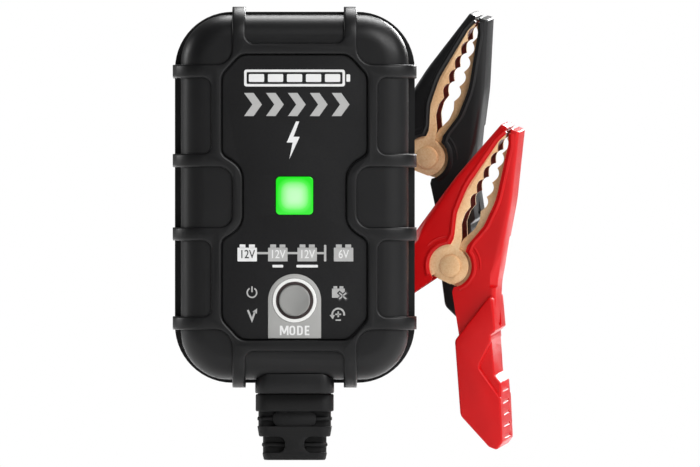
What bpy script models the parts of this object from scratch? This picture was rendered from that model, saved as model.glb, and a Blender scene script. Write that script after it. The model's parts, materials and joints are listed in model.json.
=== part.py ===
"""A plug-in motorcycle battery charger with its two spring clamps.

The frame has +Z up, the charger's front faces -Y, and the origin is the middle of its flat back face.
Lengths are written in millimetres, and MM turns them to metres where a mesh is made.
"""
from math import cos, pi, radians, sin, tan

import bmesh
import bpy
from mathutils import Matrix, Vector

MM = 0.001
WELD = 0.002 * MM
GAP = 0.3                  # clearance between neighbouring pieces
ARC_STEPS = 3              # straight runs in one rounded corner

# Charger body: depths run from 0 at the wall to negative values at the front.
REAR_HALF = (29.15, 45.1)  # half width and half height of the rear housing
REAR_CORNER = 14.0
REAR_EDGE = 2.5            # rounding of the edge against the wall
REAR_FRONT = -12.0
SHELL_HALF = (27.95, 44.55)
SHELL_CORNER = 12.5
SHELL_EDGE = 6.0           # rounding of the front edge
SHELL_BACK = -13.0
SHELL_FRONT = -32.2
ARMOUR_PROUD = 1.6         # how far the ribs stand out at the sides
FACE_PROUD = 0.8           # how far the ribs stand out at the front
WALL = 2.0
CAVITY_FRONT = -28.9
SCREW_AT = (20.5, 37.0)

# Rib cage round the body.
RIB_WIDTH = 3.2
SIDE_RIBS_Z = (8.9, 30.5)
END_RIB_X = 13.5
RING_SIDE_X = 20.2         # outer edge of the ring beside the wide parts of the face
RING_WAIST_X = 15.1        # and beside its waist
RING_END_Z = 37.3

# Face plate and what sits in it.
PLATE_HALF = (17.4, 34.3)
PLATE_WAIST = 12.3
PLATE_FRONT = -32.2
PLATE_BACK = -31.0
RECESS_FLOOR = PLATE_BACK + GAP
WINDOW_HALF = (4.5, 4.6)
WINDOW_Z = 0.35
BUTTON_Z = -25.0
BUTTON_RADIUS = 3.8
BADGE_HALF = 6.43
BUTTON_TRAVEL = 0.6

# Circuit board and mains side.
BOARD_FRONT = -23.6
BOARD_BACK = -22.0
BOARD_HALF = 24.5
BOARD_NECK_HALF = 16.5     # half width beside the screw bosses
BOARD_Z = (-38.5, 41.0)
BOARD_SHOULDER_Z = 32.5
POSTS = ((-21.5, 28.0), (21.5, 28.0), (-21.5, -28.0), (21.5, 4.0))
BLADE_X = 6.35
BLADE_Z = 13.0
BLADE_HALF = (0.75, 3.175)
BLADE_LENGTH = 17.0

# Cable exit.
CABLE_Y = -18.0
CABLE_BORE = 3.1
COLLAR_HALF = (9.55, 12.3)
COLLAR_Z = (-47.5, -41.0)
BOOT_TOP = -47.8
BOOT_END = -63.7
NECK_RADIUS = 4.3

# Spring clamps, drawn with the rivet at the origin, the jaws pointing up and the front at -Y.
CLAMP_YAW = radians(11.5)
CLAMP_PITCH = radians(5.5)
CLAMPS = {
    "red": {"rivet": (38.75, 7.0, -16.3), "lean": radians(24.6), "plastic": "red_plastic"},
    "black": {"rivet": (33.1, 20.4, 10.2), "lean": radians(21.4), "plastic": "black_plastic"},
}
JAW_HALF_DEPTH = 4.6
HANDLE_HALF_DEPTH = 7.0
METAL_DEPTH = {"fixed": 2.9, "moving": 3.9}   # outer face of each sheet metal jaw
LUG_RADIUS = {"fixed": 5.1, "moving": 4.5}
METAL = 0.8                # sheet thickness of the jaws
LUG_FLAT_Z = -4.2
RIVET_HEAD = 2.7
RIVET_SHANK = 1.6
TOOTH_PITCH = 3.8
TOOTH_DEPTH = 0.9
TOOTH_STEPS = 3            # straight runs in the hollow between two teeth
TEETH_TOP = 34.2
TEETH = 5
SPRING_WIRE = 0.9
SPRING_RADIUS = 2.9
SPRING_TURNS = 2             # whole turns, before the stretch between the two legs

FINISHES = {               # colour, roughness, metallic
    "black_plastic": ((0.018, 0.018, 0.019), 0.45, 0.0),
    "dark_rubber": ((0.012, 0.012, 0.012), 0.75, 0.0),
    "face_plastic": ((0.022, 0.022, 0.022), 0.6, 0.0),
    "red_plastic": ((0.55, 0.010, 0.011), 0.35, 0.0),
    "copper_plate": ((0.72, 0.43, 0.20), 0.4, 0.9),
    "green_lens": ((0.05, 0.75, 0.15), 0.2, 0.0),
    "grey_plastic": ((0.33, 0.33, 0.32), 0.45, 0.0),
    "white_plastic": ((0.85, 0.85, 0.84), 0.4, 0.0),
    "clear_plastic": ((0.75, 0.8, 0.78), 0.15, 0.0),
    "circuit_board": ((0.01, 0.12, 0.04), 0.5, 0.0),
    "component_black": ((0.02, 0.02, 0.022), 0.5, 0.0),
    "can_sleeve": ((0.02, 0.03, 0.09), 0.35, 0.0),
    "ferrite": ((0.05, 0.05, 0.055), 0.7, 0.0),
    "winding_tape": ((0.75, 0.5, 0.05), 0.5, 0.0),
    "copper_wire": ((0.6, 0.25, 0.08), 0.35, 1.0),
    "aluminium": ((0.7, 0.71, 0.72), 0.4, 1.0),
    "nickel_brass": ((0.72, 0.68, 0.6), 0.3, 1.0),
    "spring_steel": ((0.45, 0.45, 0.46), 0.35, 1.0),
}


def clear_scene():
    """Removes every object, so that the script can be run again."""
    for piece in list(bpy.data.objects):
        bpy.data.objects.remove(piece, do_unlink=True)


def link(piece):
    """Puts a piece in the charger's collection."""
    if "battery_charger" not in bpy.data.collections:
        group = bpy.data.collections.new("battery_charger")
        bpy.context.scene.collection.children.link(group)
    for group in list(piece.users_collection):
        group.objects.unlink(piece)
    bpy.data.collections["battery_charger"].objects.link(piece)
    return piece


def material(name):
    """The named finish as a Principled material."""
    found = bpy.data.materials.get(name)
    if found:
        return found
    colour, roughness, metallic = FINISHES[name]
    made = bpy.data.materials.new(name)
    made.use_nodes = True
    shader = made.node_tree.nodes["Principled BSDF"]
    shader.inputs["Base Color"].default_value = (*colour, 1.0)
    shader.inputs["Roughness"].default_value = roughness
    shader.inputs["Metallic"].default_value = metallic
    made.diffuse_color = (*colour, 1.0)
    return made


def baked(piece):
    """Replaces a piece by its evaluated mesh, welded, with its place in the mesh."""
    bpy.context.view_layer.update()
    graph = bpy.context.evaluated_depsgraph_get()
    data = bpy.data.meshes.new_from_object(piece.evaluated_get(graph))
    data.transform(piece.matrix_world)
    mesh = bmesh.new()
    mesh.from_mesh(data)
    bmesh.ops.remove_doubles(mesh, verts=mesh.verts, dist=WELD)
    bmesh.ops.recalc_face_normals(mesh, faces=mesh.faces)
    mesh.to_mesh(data)
    mesh.free()
    name = piece.name
    bpy.data.objects.remove(piece, do_unlink=True)
    return link(bpy.data.objects.new(name, data))


def outline(corners, steps=ARC_STEPS):
    """Points of a closed outline of corners (x, z, radius), each rounded by an arc."""
    points = []
    for i, (x, z, radius) in enumerate(corners):
        here = Vector((x, z))
        before = (Vector(corners[i - 1][:2]) - here).normalized()
        after = (Vector(corners[(i + 1) % len(corners)][:2]) - here).normalized()
        if radius == 0:
            points.append(here)
            continue
        half = before.angle(after) / 2
        centre = here + (before + after).normalized() * radius / sin(half)
        arm = here + before * radius / tan(half) - centre
        sweep = (pi - 2 * half) * (-1 if before.cross(after) > 0 else 1)
        for k in range(steps + 1):
            points.append(centre + Matrix.Rotation(sweep * k / steps, 2) @ arm)
    return points


def box_corners(half_x, half_z, radius, x=0.0, z=0.0):
    """Corners of a rounded rectangle about (x, z)."""
    return [
        (x - half_x, z - half_z, radius), (x + half_x, z - half_z, radius),
        (x + half_x, z + half_z, radius), (x - half_x, z + half_z, radius),
    ]


def circle(radius, x=0.0, z=0.0, sides=24):
    """Points of a circle about (x, z)."""
    turns = [2 * pi * k / sides for k in range(sides)]
    return [Vector((x + radius * cos(t), z + radius * sin(t))) for t in turns]


def plate(name, loops, front, back, apart=False):
    """A flat piece cut to closed loops of (x, z) points, from depth front to depth back.

    Where the loops lie apart, or there is one, each end of the piece becomes a single face.
    """
    curve = bpy.data.curves.new(name, "CURVE")
    curve.dimensions = "2D"
    curve.fill_mode = "BOTH"
    curve.extrude = (back - front) / 2 * MM
    for loop in loops:
        spline = curve.splines.new("POLY")
        spline.points.add(len(loop) - 1)
        for point, (x, z) in zip(spline.points, loop):
            point.co = (x * MM, z * MM, 0, 1)
        spline.use_cyclic_u = True
    piece = link(bpy.data.objects.new(name, curve))
    depth = Matrix.Translation((0, (front + back) / 2 * MM, 0))
    piece.matrix_world = depth @ Matrix.Rotation(pi / 2, 4, "X")
    piece = baked(piece)
    if apart or len(loops) == 1:
        mesh = bmesh.new()
        mesh.from_mesh(piece.data)
        bmesh.ops.dissolve_limit(mesh, angle_limit=radians(0.2), verts=mesh.verts, edges=mesh.edges)
        mesh.to_mesh(piece.data)
        mesh.free()
    return piece


def block(name, low, high, bevel=0.0, segments=2):
    """A box between two corners, with its edges rounded by bevel."""
    middle = [(a + b) / 2 * MM for a, b in zip(low, high)]
    size = [(b - a) * MM for a, b in zip(low, high)]
    bpy.ops.mesh.primitive_cube_add(size=1, location=middle)
    piece = link(bpy.context.object)
    piece.name = name
    piece.scale = size
    piece = baked(piece)
    if bevel:
        round_edges(piece, bevel, segments)
    return piece


def rod(name, centre, radius, length, axis="Y", sides=24):
    """A cylinder about centre along an axis."""
    turn = {
        "X": Matrix.Rotation(pi / 2, 4, "Y"),
        "Y": Matrix.Rotation(-pi / 2, 4, "X"),
        "Z": Matrix.Identity(4),
    }[axis]
    bpy.ops.mesh.primitive_cylinder_add(vertices=sides, radius=radius * MM, depth=length * MM)
    piece = link(bpy.context.object)
    piece.name = name
    piece.matrix_world = Matrix.Translation(Vector(centre) * MM) @ turn
    return baked(piece)


def round_edges(piece, radius, segments, choose=None):
    """Rounds the sharp edges that choose picks, or all of them."""
    mesh = bmesh.new()
    mesh.from_mesh(piece.data)
    sharp = [e for e in mesh.edges if e.calc_face_angle(0) > radians(25)]
    edges = [e for e in sharp if choose is None or choose(e)]
    bmesh.ops.bevel(mesh, geom=edges, offset=radius * MM, segments=segments,
                    profile=0.5, affect="EDGES", clamp_overlap=True)
    bmesh.ops.recalc_face_normals(mesh, faces=mesh.faces)
    mesh.to_mesh(piece.data)
    mesh.free()
    return piece


def at_depth(depth):
    """Picks the edges that lie at one depth."""
    return lambda e: all(abs(v.co.y - depth * MM) < WELD for v in e.verts)


def combine(piece, operation, *others):
    """Applies exact Booleans with closed pieces, which are used up."""
    for other in others:
        change = piece.modifiers.new(operation, "BOOLEAN")
        change.operation = operation
        change.solver = "EXACT"
        change.object = other
        piece = baked(piece)
        bpy.data.objects.remove(other, do_unlink=True)
    return piece


def finished(piece, name, finish, parent=None, origin=None):
    """Names, colours, shades and parents a piece, and moves its origin to a point."""
    piece.name = name
    piece.data.name = name
    piece.data.materials.clear()
    piece.data.materials.append(material(finish))
    if origin is not None:
        place = Vector(origin) * MM
        piece.data.transform(Matrix.Translation(-place))
        piece.location = place
    piece.data.shade_smooth()
    piece.data.set_sharp_from_angle(angle=radians(30))
    piece.parent = parent
    return piece


def body_blank(name, half, corner, edge, front, back, edge_at, grow=0.0):
    """The solid form of a housing: a rounded rectangle with one rounded end edge."""
    sides = box_corners(half[0] + grow, half[1] + grow, corner + grow)
    piece = plate(name, [outline(sides, 5)], front, back)
    if edge:
        round_edges(piece, edge, 3, at_depth(edge_at))
    return piece


def shell_blank(name, grow=0.0, face=0.0, back=SHELL_BACK):
    """The front housing's form, grown at the sides by grow and at the front by face."""
    front = SHELL_FRONT - face
    return body_blank(name, SHELL_HALF, SHELL_CORNER, SHELL_EDGE + grow, front, back, front, grow)


def rear_blank(name, grow=0.0, front=REAR_FRONT):
    """The rear housing's form."""
    return body_blank(name, REAR_HALF, REAR_CORNER, REAR_EDGE, front, grow, grow, grow)


def face_outline(grow=0.0):
    """The face plate's outline, with a narrow waist beside the charge window."""
    half_x = PLATE_HALF[0] + grow
    half_z = PLATE_HALF[1] + grow
    waist = PLATE_WAIST + grow
    quarter = [
        (waist, 7.3 - grow, 5.4), (half_x, 10.7 - grow, 2.2),
        (half_x, half_z - 5.0, 2.5), (half_x - 4.6, half_z, 2.5),
    ]
    upper = quarter + [(-x, z, r) for x, z, r in reversed(quarter)]
    lower = [(x, -z, r) for x, z, r in reversed(upper)]
    return outline(upper + lower)


def panel_loops():
    """The sunk panels between the ribs, each cut out past the edge of the body."""
    rib = RIB_WIDTH / 2
    far = 60.0
    low_z, high_z = SIDE_RIBS_Z
    loops = []
    for sx in (-1, 1):
        middle_z = low_z - rib
        loops.append([
            (sx * RING_WAIST_X, -middle_z, 3.2), (sx * far, -middle_z, 0),
            (sx * far, middle_z, 0), (sx * RING_WAIST_X, middle_z, 3.2)])
        for sz in (-1, 1):
            near, out = sz * (low_z + rib), sz * (high_z - rib)
            loops.append([
                (sx * RING_SIDE_X, near, 2), (sx * far, near, 0),
                (sx * far, out, 0), (sx * RING_SIDE_X, out, 2)])
            inner_x, inner_z = sx * (END_RIB_X + rib), sz * (high_z + rib)
            loops.append([
                (inner_x, inner_z, 3.9), (sx * far, inner_z, 0),
                (sx * far, sz * far, 0), (inner_x, sz * far, 0)])
    for sz in (-1, 1):
        side = END_RIB_X - rib
        loops.append([
            (-side, sz * RING_END_Z, 2), (side, sz * RING_END_Z, 2),
            (side, sz * far, 0), (-side, sz * far, 0)])
    return [outline(loop, 2) for loop in loops]


def front_housing():
    """Front moulding: an open box with ribs, a face recess, screw bosses and board posts."""
    spare = SHELL_BACK + 3
    armour = shell_blank("armour", ARMOUR_PROUD, FACE_PROUD, spare + 1)
    armour = combine(armour, "DIFFERENCE",
                     plate("panels", panel_loops(), SHELL_FRONT - 5, SHELL_BACK + 9, True))
    piece = combine(shell_blank("front_housing", back=spare), "UNION", armour)
    hollow = body_blank("hollow", SHELL_HALF, SHELL_CORNER, SHELL_EDGE - WALL,
                        CAVITY_FRONT, SHELL_BACK + 9, CAVITY_FRONT, -WALL)
    recess = plate("recess", [face_outline(GAP)], -40, RECESS_FLOOR)
    behind = block("behind", (-50, SHELL_BACK, -60), (50, SHELL_BACK + 20, 60))
    piece = combine(piece, "DIFFERENCE", hollow, recess, behind)
    for x in (-SCREW_AT[0], SCREW_AT[0]):
        for z in (-SCREW_AT[1], SCREW_AT[1]):
            boss = rod("boss", (x, -21.2, z), 3.2, 16.2, sides=12)
            piece = combine(piece, "UNION", boss)
            piece = combine(piece, "DIFFERENCE", rod("pilot", (x, -18.0, z), 1.6, 12.0, sides=8))
    post_length = BOARD_FRONT - GAP - CAVITY_FRONT + 0.5
    for x, z in POSTS:
        middle = BOARD_FRONT - GAP - post_length / 2
        piece = combine(piece, "UNION", rod("post", (x, middle, z), 2.5, post_length, sides=10))
        piece = combine(piece, "DIFFERENCE",
                        rod("pilot", (x, BOARD_FRONT - 1.0, z), 1.2, 6.0, sides=6))
    window = plate("window", [outline(box_corners(3.9, 3.9, 0.6, 0, WINDOW_Z))], -40, -20)
    button = rod("button_hole", (0, -30, BUTTON_Z), BUTTON_RADIUS + 0.3, 8)
    exit_hole = rod("exit_hole", (0, CABLE_Y, -44), NECK_RADIUS + GAP, 8, "Z")
    return finished(combine(piece, "DIFFERENCE", window, button, exit_hole),
                    "front_housing", "black_plastic")


def rear_housing():
    """Rear moulding: a shallow tray with rib ends, blade slots and deep screw wells."""
    piece = rear_blank("rear_housing", front=REAR_FRONT - 3)
    rib = RIB_WIDTH / 2
    out_x, out_z = (half + 0.45 for half in REAR_HALF)
    for z in (-SIDE_RIBS_Z[1], -SIDE_RIBS_Z[0], SIDE_RIBS_Z[0], SIDE_RIBS_Z[1]):
        bar = block("bar", (-out_x, REAR_FRONT - 2, z - rib), (out_x, -3.0, z + rib))
        piece = combine(piece, "UNION", bar)
    for x in (-END_RIB_X, END_RIB_X):
        bar = block("bar", (x - rib, REAR_FRONT - 1, -out_z), (x + rib, -3.2, out_z))
        piece = combine(piece, "UNION", bar)
    hollow = body_blank("hollow", REAR_HALF, REAR_CORNER, 0, REAR_FRONT - 5, -2.2, 0, -2.2)
    ahead = block("ahead", (-50, REAR_FRONT - 20, -60), (50, REAR_FRONT, 60))
    piece = combine(piece, "DIFFERENCE", hollow, ahead)
    for x in (-SCREW_AT[0], SCREW_AT[0]):
        for z in (-SCREW_AT[1], SCREW_AT[1]):
            piece = combine(piece, "UNION", rod("boss", (x, -6.5, z), 3.9, 11, sides=12))
            well = rod("well", (x, 0, z), 2.9, 16, sides=12)
            shank = rod("shank", (x, -8, z), 1.8, 12, sides=8)
            piece = combine(piece, "DIFFERENCE", well, shank)
    slots = [
        outline(box_corners(BLADE_HALF[0] + 0.25, BLADE_HALF[1] + 0.25, 0.3, x, BLADE_Z))
        for x in (-BLADE_X, BLADE_X)
    ]
    piece = combine(piece, "DIFFERENCE", plate("slots", slots, -5, 5))
    return finished(piece, "rear_housing", "black_plastic")


def gasket():
    """Soft seal squeezed between the two housings."""
    outer = outline(box_corners(26.9, 43.5, 12), 6)
    inner = outline(box_corners(25.5, 42.1, 10.6), 6)
    return finished(plate("gasket", [outer, inner], SHELL_BACK + 0.15, REAR_FRONT - 0.15),
                    "housing_gasket", "dark_rubber")


def face_pieces():
    """Face plate, charge window, arched badge and the rings round the button."""
    hole = outline(box_corners(WINDOW_HALF[0] + 0.2, WINDOW_HALF[1] + 0.2, 1.1, 0, WINDOW_Z))
    piece = plate("face_plate", [face_outline(), hole], PLATE_FRONT, PLATE_BACK)
    arch = plate("arch", [arch_outline(BADGE_HALF + 0.15, -40)], -40, -20)
    finished(combine(piece, "DIFFERENCE", arch), "face_plate", "face_plastic")
    finished(plate("badge", [arch_outline(BADGE_HALF, 0.15 - PLATE_HALF[1]),
                             circle(5.45, 0, BUTTON_Z)], PLATE_FRONT - 0.15, PLATE_BACK),
             "mode_badge", "grey_plastic")
    window = outline(box_corners(*WINDOW_HALF, 1.0, 0, WINDOW_Z))
    finished(plate("window", [window], PLATE_FRONT - 0.2, PLATE_BACK),
             "light_window", "green_lens")
    finished(plate("ring", [circle(5.3, 0, BUTTON_Z), circle(4.6, 0, BUTTON_Z)],
                   PLATE_FRONT - 0.3, PLATE_BACK), "button_ring", "white_plastic")
    finished(plate("seal", [circle(4.45, 0, BUTTON_Z), circle(3.98, 0, BUTTON_Z)],
                   PLATE_FRONT, PLATE_BACK), "button_seal", "dark_rubber")


def arch_outline(half, bottom, sides=16):
    """An arch about the button: a half circle over two straight sides."""
    turns = [pi * k / sides for k in range(sides + 1)]
    top = [Vector((half * cos(t), BUTTON_Z + half * sin(t))) for t in turns]
    return top + [Vector((-half, bottom)), Vector((half, bottom))]


def mode_button():
    """Button cap with a flange behind the front wall and a stem to the switch."""
    head = rod("head", (0, -30.9, BUTTON_Z), BUTTON_RADIUS, 4.6)
    round_edges(head, 0.5, 1, at_depth(-33.2))
    flange = rod("flange", (0, -28.25, BUTTON_Z), 4.8, 0.9)
    stem = rod("stem", (0, -27.5, BUTTON_Z), 1.5, 1.0, sides=12)
    finished(combine(head, "UNION", flange, stem), "mode_button", "grey_plastic",
             origin=(0, -33.2, BUTTON_Z))


def board_pieces():
    """Circuit board and the small parts on its front."""
    low, high = BOARD_Z
    shoulder = BOARD_SHOULDER_Z
    half, neck = BOARD_HALF, BOARD_NECK_HALF
    edge = [(half, -shoulder, 1), (half, shoulder, 1), (neck, shoulder, 1), (neck, high, 1)]
    edge += [(-x, z, r) for x, z, r in reversed(edge)]
    edge += [(-neck, -shoulder, 1), (-neck, low, 1), (neck, low, 1), (neck, -shoulder, 1)]
    holes = [circle(1.4, x, z, 12) for x, z in POSTS]
    finished(plate("board", [outline(edge, 2), *holes], BOARD_FRONT, BOARD_BACK),
             "main_board", "circuit_board")
    front = BOARD_FRONT - 0.1
    finished(block("led", (-1.75, front - 1.4, WINDOW_Z - 1.4), (1.75, front, WINDOW_Z + 1.4), 0.2),
             "charge_led", "white_plastic")
    guide = outline(box_corners(3.6, 3.6, 0.5, 0, WINDOW_Z))
    finished(plate("guide", [guide], RECESS_FLOOR, front - 1.7), "light_guide", "clear_plastic")
    switch = block("switch", (-3.1, front - 2.0, BUTTON_Z - 3.1), (3.1, front, BUTTON_Z + 3.1), 0.2)
    knob = rod("knob", (0, front - 2.2, BUTTON_Z), 1.7, 0.8, sides=16)
    finished(combine(switch, "UNION", knob), "mode_switch", "component_black")
    finished(block("chip", (-16, front - 1.2, -16), (-9, front, -9), 0.25),
             "microcontroller", "component_black")
    for number, (x, z) in enumerate(POSTS, 1):
        screw("board_screw_%d" % number, x, z, BOARD_BACK + 0.1, 2.1, 1.3, 0.95, 5.2)


def screw(name, x, z, seat, head, head_length, shank, length):
    """A cross-head screw driven toward the front, its head seated at depth seat."""
    cap = rod(name, (x, seat + head_length / 2, z), head, head_length, sides=12)
    round_edges(cap, 0.3, 1, at_depth(seat + head_length))
    cap = combine(cap, "UNION",
                  rod("shank", (x, seat - length / 2 + 0.2, z), shank, length + 0.4, sides=8))
    for across in ((1.2, 0.25), (0.25, 1.2)):
        slot = block("slot", (x - across[0], seat + head_length - 0.7, z - across[1]),
                     (x + across[0], seat + head_length + 1, z + across[1]))
        cap = combine(cap, "DIFFERENCE", slot)
    finished(cap, name, "spring_steel")


def power_parts():
    """The larger parts on the back of the board."""
    base = BOARD_BACK + 0.2
    frame = [outline(box_corners(10, 10, 0.5, 1, -12)), outline(box_corners(6.4, 7, 0.5, 1, -12))]
    finished(plate("core", frame, base + 3.5, base + 12.5), "transformer_core", "ferrite")
    finished(block("coil", (-5.1, base, -18.6), (7.1, base + 15.5, -5.4), 1.5),
             "transformer_coil", "winding_tape")
    can = rod("can", (-16, -15.7, 11), 6.0, 21, "Z")
    finished(round_edges(can, 0.8, 2), "input_capacitor", "can_sleeve")
    can = rod("can", (-14, base + 7, -28), 4.0, 14)
    finished(round_edges(can, 0.6, 2), "output_capacitor", "can_sleeve")
    bpy.ops.mesh.primitive_torus_add(
        location=(15 * MM, (base + 2.7) * MM, 18 * MM), rotation=(pi / 2, 0, 0),
        major_segments=18, minor_segments=8, major_radius=6.2 * MM, minor_radius=2.6 * MM)
    finished(baked(link(bpy.context.object)), "filter_choke", "copper_wire")
    finished(block("bridge", (6.5, base, 33.5), (15.5, base + 8.5, 37.0), 0.4),
             "bridge_rectifier", "component_black")
    finished(rod("fuse", (-6, base + 2.6, 36), 2.5, 16, "X", 16), "fuse", "nickel_brass")
    tab = block("tab", (16.2, base + 1, -26), (17.6, base + 16, -16), 0.2)
    case = block("case", (13.2, base + 1, -26), (16.4, base + 10, -16), 0.3)
    finished(combine(case, "UNION", tab), "power_transistor", "component_black")
    sink = block("sink", (17.9, base, -31), (19.4, base + 16, -9))
    fins = [block("fin", (19.2, base, z), (23.6, base + 16, z + 1.4)) for z in range(-31, -9, 5)]
    finished(combine(sink, "UNION", *fins), "heat_sink", "aluminium")


def mains_side():
    """Two flat blades in a carrier behind the rear wall."""
    for side, x in (("left", -BLADE_X), ("right", BLADE_X)):
        blade = block("blade", (x - BLADE_HALF[0], -9, BLADE_Z - BLADE_HALF[1]),
                      (x + BLADE_HALF[0], BLADE_LENGTH, BLADE_Z + BLADE_HALF[1]))
        round_edges(blade, 0.5, 1, at_depth(BLADE_LENGTH))
        finished(blade, "mains_blade_" + side, "nickel_brass")
    edge = outline(box_corners(11, 6, 1, 0, BLADE_Z))
    slots = [
        outline(box_corners(BLADE_HALF[0] + 0.2, BLADE_HALF[1] + 0.2, 0.3, x, BLADE_Z))
        for x in (-BLADE_X, BLADE_X)
    ]
    finished(plate("carrier", [edge, *slots], -7.5, -2.5), "blade_carrier", "component_black")
    for number in range(4):
        x = SCREW_AT[0] * (1 if number % 2 else -1)
        z = SCREW_AT[1] * (1 if number < 2 else -1)
        screw("housing_screw_%d" % (number + 1), x, z, -7.8, 2.5, 2.0, 1.3, 14)


def cable_exit():
    """Collar under the body and the grooved boot that spares the cable at the exit."""
    half_x, half_y = COLLAR_HALF
    low, high = COLLAR_Z
    collar = block("collar", (-half_x, CABLE_Y - half_y, low), (half_x, CABLE_Y + half_y, high))
    round_edges(collar, 3.5, 3, lambda e: abs(e.verts[0].co.z - e.verts[1].co.z) > MM)
    collar = combine(collar, "DIFFERENCE", shell_blank("body", GAP, 0, REAR_FRONT + 1),
                     rear_blank("rear", GAP),
                     rod("bore", (0, CABLE_Y, -45), NECK_RADIUS + GAP, 12, "Z"))
    finished(collar, "cable_collar", "black_plastic")

    boot = block("boot", (-9.45, CABLE_Y - 9.45, BOOT_END), (9.45, CABLE_Y + 9.45, BOOT_TOP))
    round_edges(boot, 3.0, 3, lambda e: abs(e.verts[0].co.z - e.verts[1].co.z) > MM)
    mesh = bmesh.new()
    mesh.from_mesh(boot.data)
    for z in (-52.0, -55.5, -58.5, -61.0):
        parts = [*mesh.verts, *mesh.edges, *mesh.faces]
        bmesh.ops.bisect_plane(mesh, geom=parts, plane_co=(0, 0, z * MM), plane_no=(0, 0, 1))
    for v in mesh.verts:
        share = max(0.0, (-51.5 * MM - v.co.z) / ((-51.5 - BOOT_END) * MM))
        taper = 1 - 0.21 * share ** 1.4
        v.co.x *= taper
        v.co.y = CABLE_Y * MM + (v.co.y - CABLE_Y * MM) * taper
    mesh.to_mesh(boot.data)
    mesh.free()
    ring = combine(block("ring", (-12, -32, -55.5), (12, -4, -51.8)), "DIFFERENCE",
                   block("core", (-8.8, CABLE_Y - 6.4, -60), (8.8, CABLE_Y + 6.4, -48)))
    boot = combine(boot, "DIFFERENCE", ring)
    for sx in (-1, 1):
        notch = outline([(sx * 2.3, -61.9, 1.8), (sx * 2.3, -58.0, 1.8),
                         (sx * 12, -58.0, 0), (sx * 12, -61.9, 0)])
        side = combine(plate("side", [notch], -32, -4), "DIFFERENCE",
                       block("core", (-7.7, CABLE_Y - 5.6, -65), (7.7, CABLE_Y + 5.6, -55)))
        boot = combine(boot, "DIFFERENCE", side)
    neck = rod("neck", (0, CABLE_Y, -44.9), NECK_RADIUS, 7.8, "Z")
    flange = rod("flange", (0, CABLE_Y, -41.5), 5.4, 1.0, "Z")
    boot = combine(boot, "UNION", neck, flange)
    boot = combine(boot, "DIFFERENCE", rod("bore", (0, CABLE_Y, -52), CABLE_BORE, 40, "Z"))
    finished(boot, "cable_boot", "dark_rubber")


def inner_edge():
    """The plastic's edge along the bare metal of the right jaw, from the waist to the tip."""
    return [(1.9, 6.4, 0.6), (3.7, 12.5, 6), (3.9, 19.5, 20), (1.3, 33.0, 4)]


def jaw_cover(role):
    """Right plastic half: a thin jaw cover and a deep handle, hollow and open to the middle."""
    jaw = [(0.5, 36.9, 0.2), (2.4, 37.1, 0.5), (7.6, 20.5, 40), (12.2, 0.3, 20),
           (15.9, -8.5, 0), (9.0, -15.0, 0), (3.0, -5.6, 1.0)]
    handle = [(12.3, -1.2, 0.8), (21.4, -21.2, 1), (23.2, -22.6, 1), (30.6, -35.4, 0.8),
              (27.5, -37.0, 1.5), (18.0, -32.4, 2.5), (8.6, -15.9, 2)]
    piece = plate("cover", [outline(jaw + inner_edge())], -JAW_HALF_DEPTH, JAW_HALF_DEPTH)
    grip = plate("grip", [outline(handle, 3)], -HANDLE_HALF_DEPTH, HANDLE_HALF_DEPTH)
    for depth in (-HANDLE_HALF_DEPTH, HANDLE_HALF_DEPTH):
        round_edges(grip, 0.9, 1, at_depth(depth))
    notch = [(17.6, -19.8, 1.0), (26.2, -24.0, 0), (30, -16, 0), (19.2, -13.6, 0)]
    for front in (-HANDLE_HALF_DEPTH - 1, HANDLE_HALF_DEPTH - 1.3):
        grip = combine(grip, "DIFFERENCE", plate("notch", [outline(notch)], front, front + 2.3))
    piece = combine(piece, "UNION", grip)
    inside = METAL_DEPTH[role] + 0.15
    cavity = [(-3, 35.4, 0), (1.4, 35.4, 0.5), (6.2, 20.5, 0), (10.8, 1.0, 0),
              (14.0, -6.5, 0), (13.0, -18.0, 0), (8.0, -20.0, 0), (-3, -6, 0)]
    hollow = [(14.0, -4.6, 0), (20.2, -22.0, 0.5), (21.8, -23.4, 0.5), (28.4, -34.4, 0.5),
              (26.9, -35.3, 0.5), (14.0, -31.0, 0), (7.6, -19.6, 0), (10.5, -17.0, 0)]
    piece = combine(piece, "DIFFERENCE", plate("cavity", [outline(cavity)], -inside, inside),
                    plate("hollow", [outline(hollow)], -HANDLE_HALF_DEPTH + 1.6,
                          HANDLE_HALF_DEPTH - 1.6),
                    rod("lug_room", (0, 0, 0), LUG_RADIUS["fixed"] + 0.2, 30, sides=24))
    return piece


def toothed_edge():
    """Corners of the right jaw's bitten edge, from the tip down: hollow arcs that meet in teeth."""
    corners = []
    for tooth in range(TEETH):
        top = TEETH_TOP - tooth * TOOTH_PITCH
        for step in range(TOOTH_STEPS):
            share = step / TOOTH_STEPS
            z = top - share * TOOTH_PITCH
            hollow = TOOTH_DEPTH * (1 - (2 * share - 1) ** 2)
            corners.append((tooth_line(z) + hollow, z, 0))
    last = TEETH_TOP - TEETH * TOOTH_PITCH
    return corners + [(tooth_line(last), last, 0)]


def tooth_line(z):
    """Where the tooth tips lie, from nearly touching at the mouth to apart at the throat."""
    share = (TEETH_TOP - z) / (TEETH * TOOTH_PITCH)
    return 0.15 + 1.15 * sin(share * pi / 2)


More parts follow.
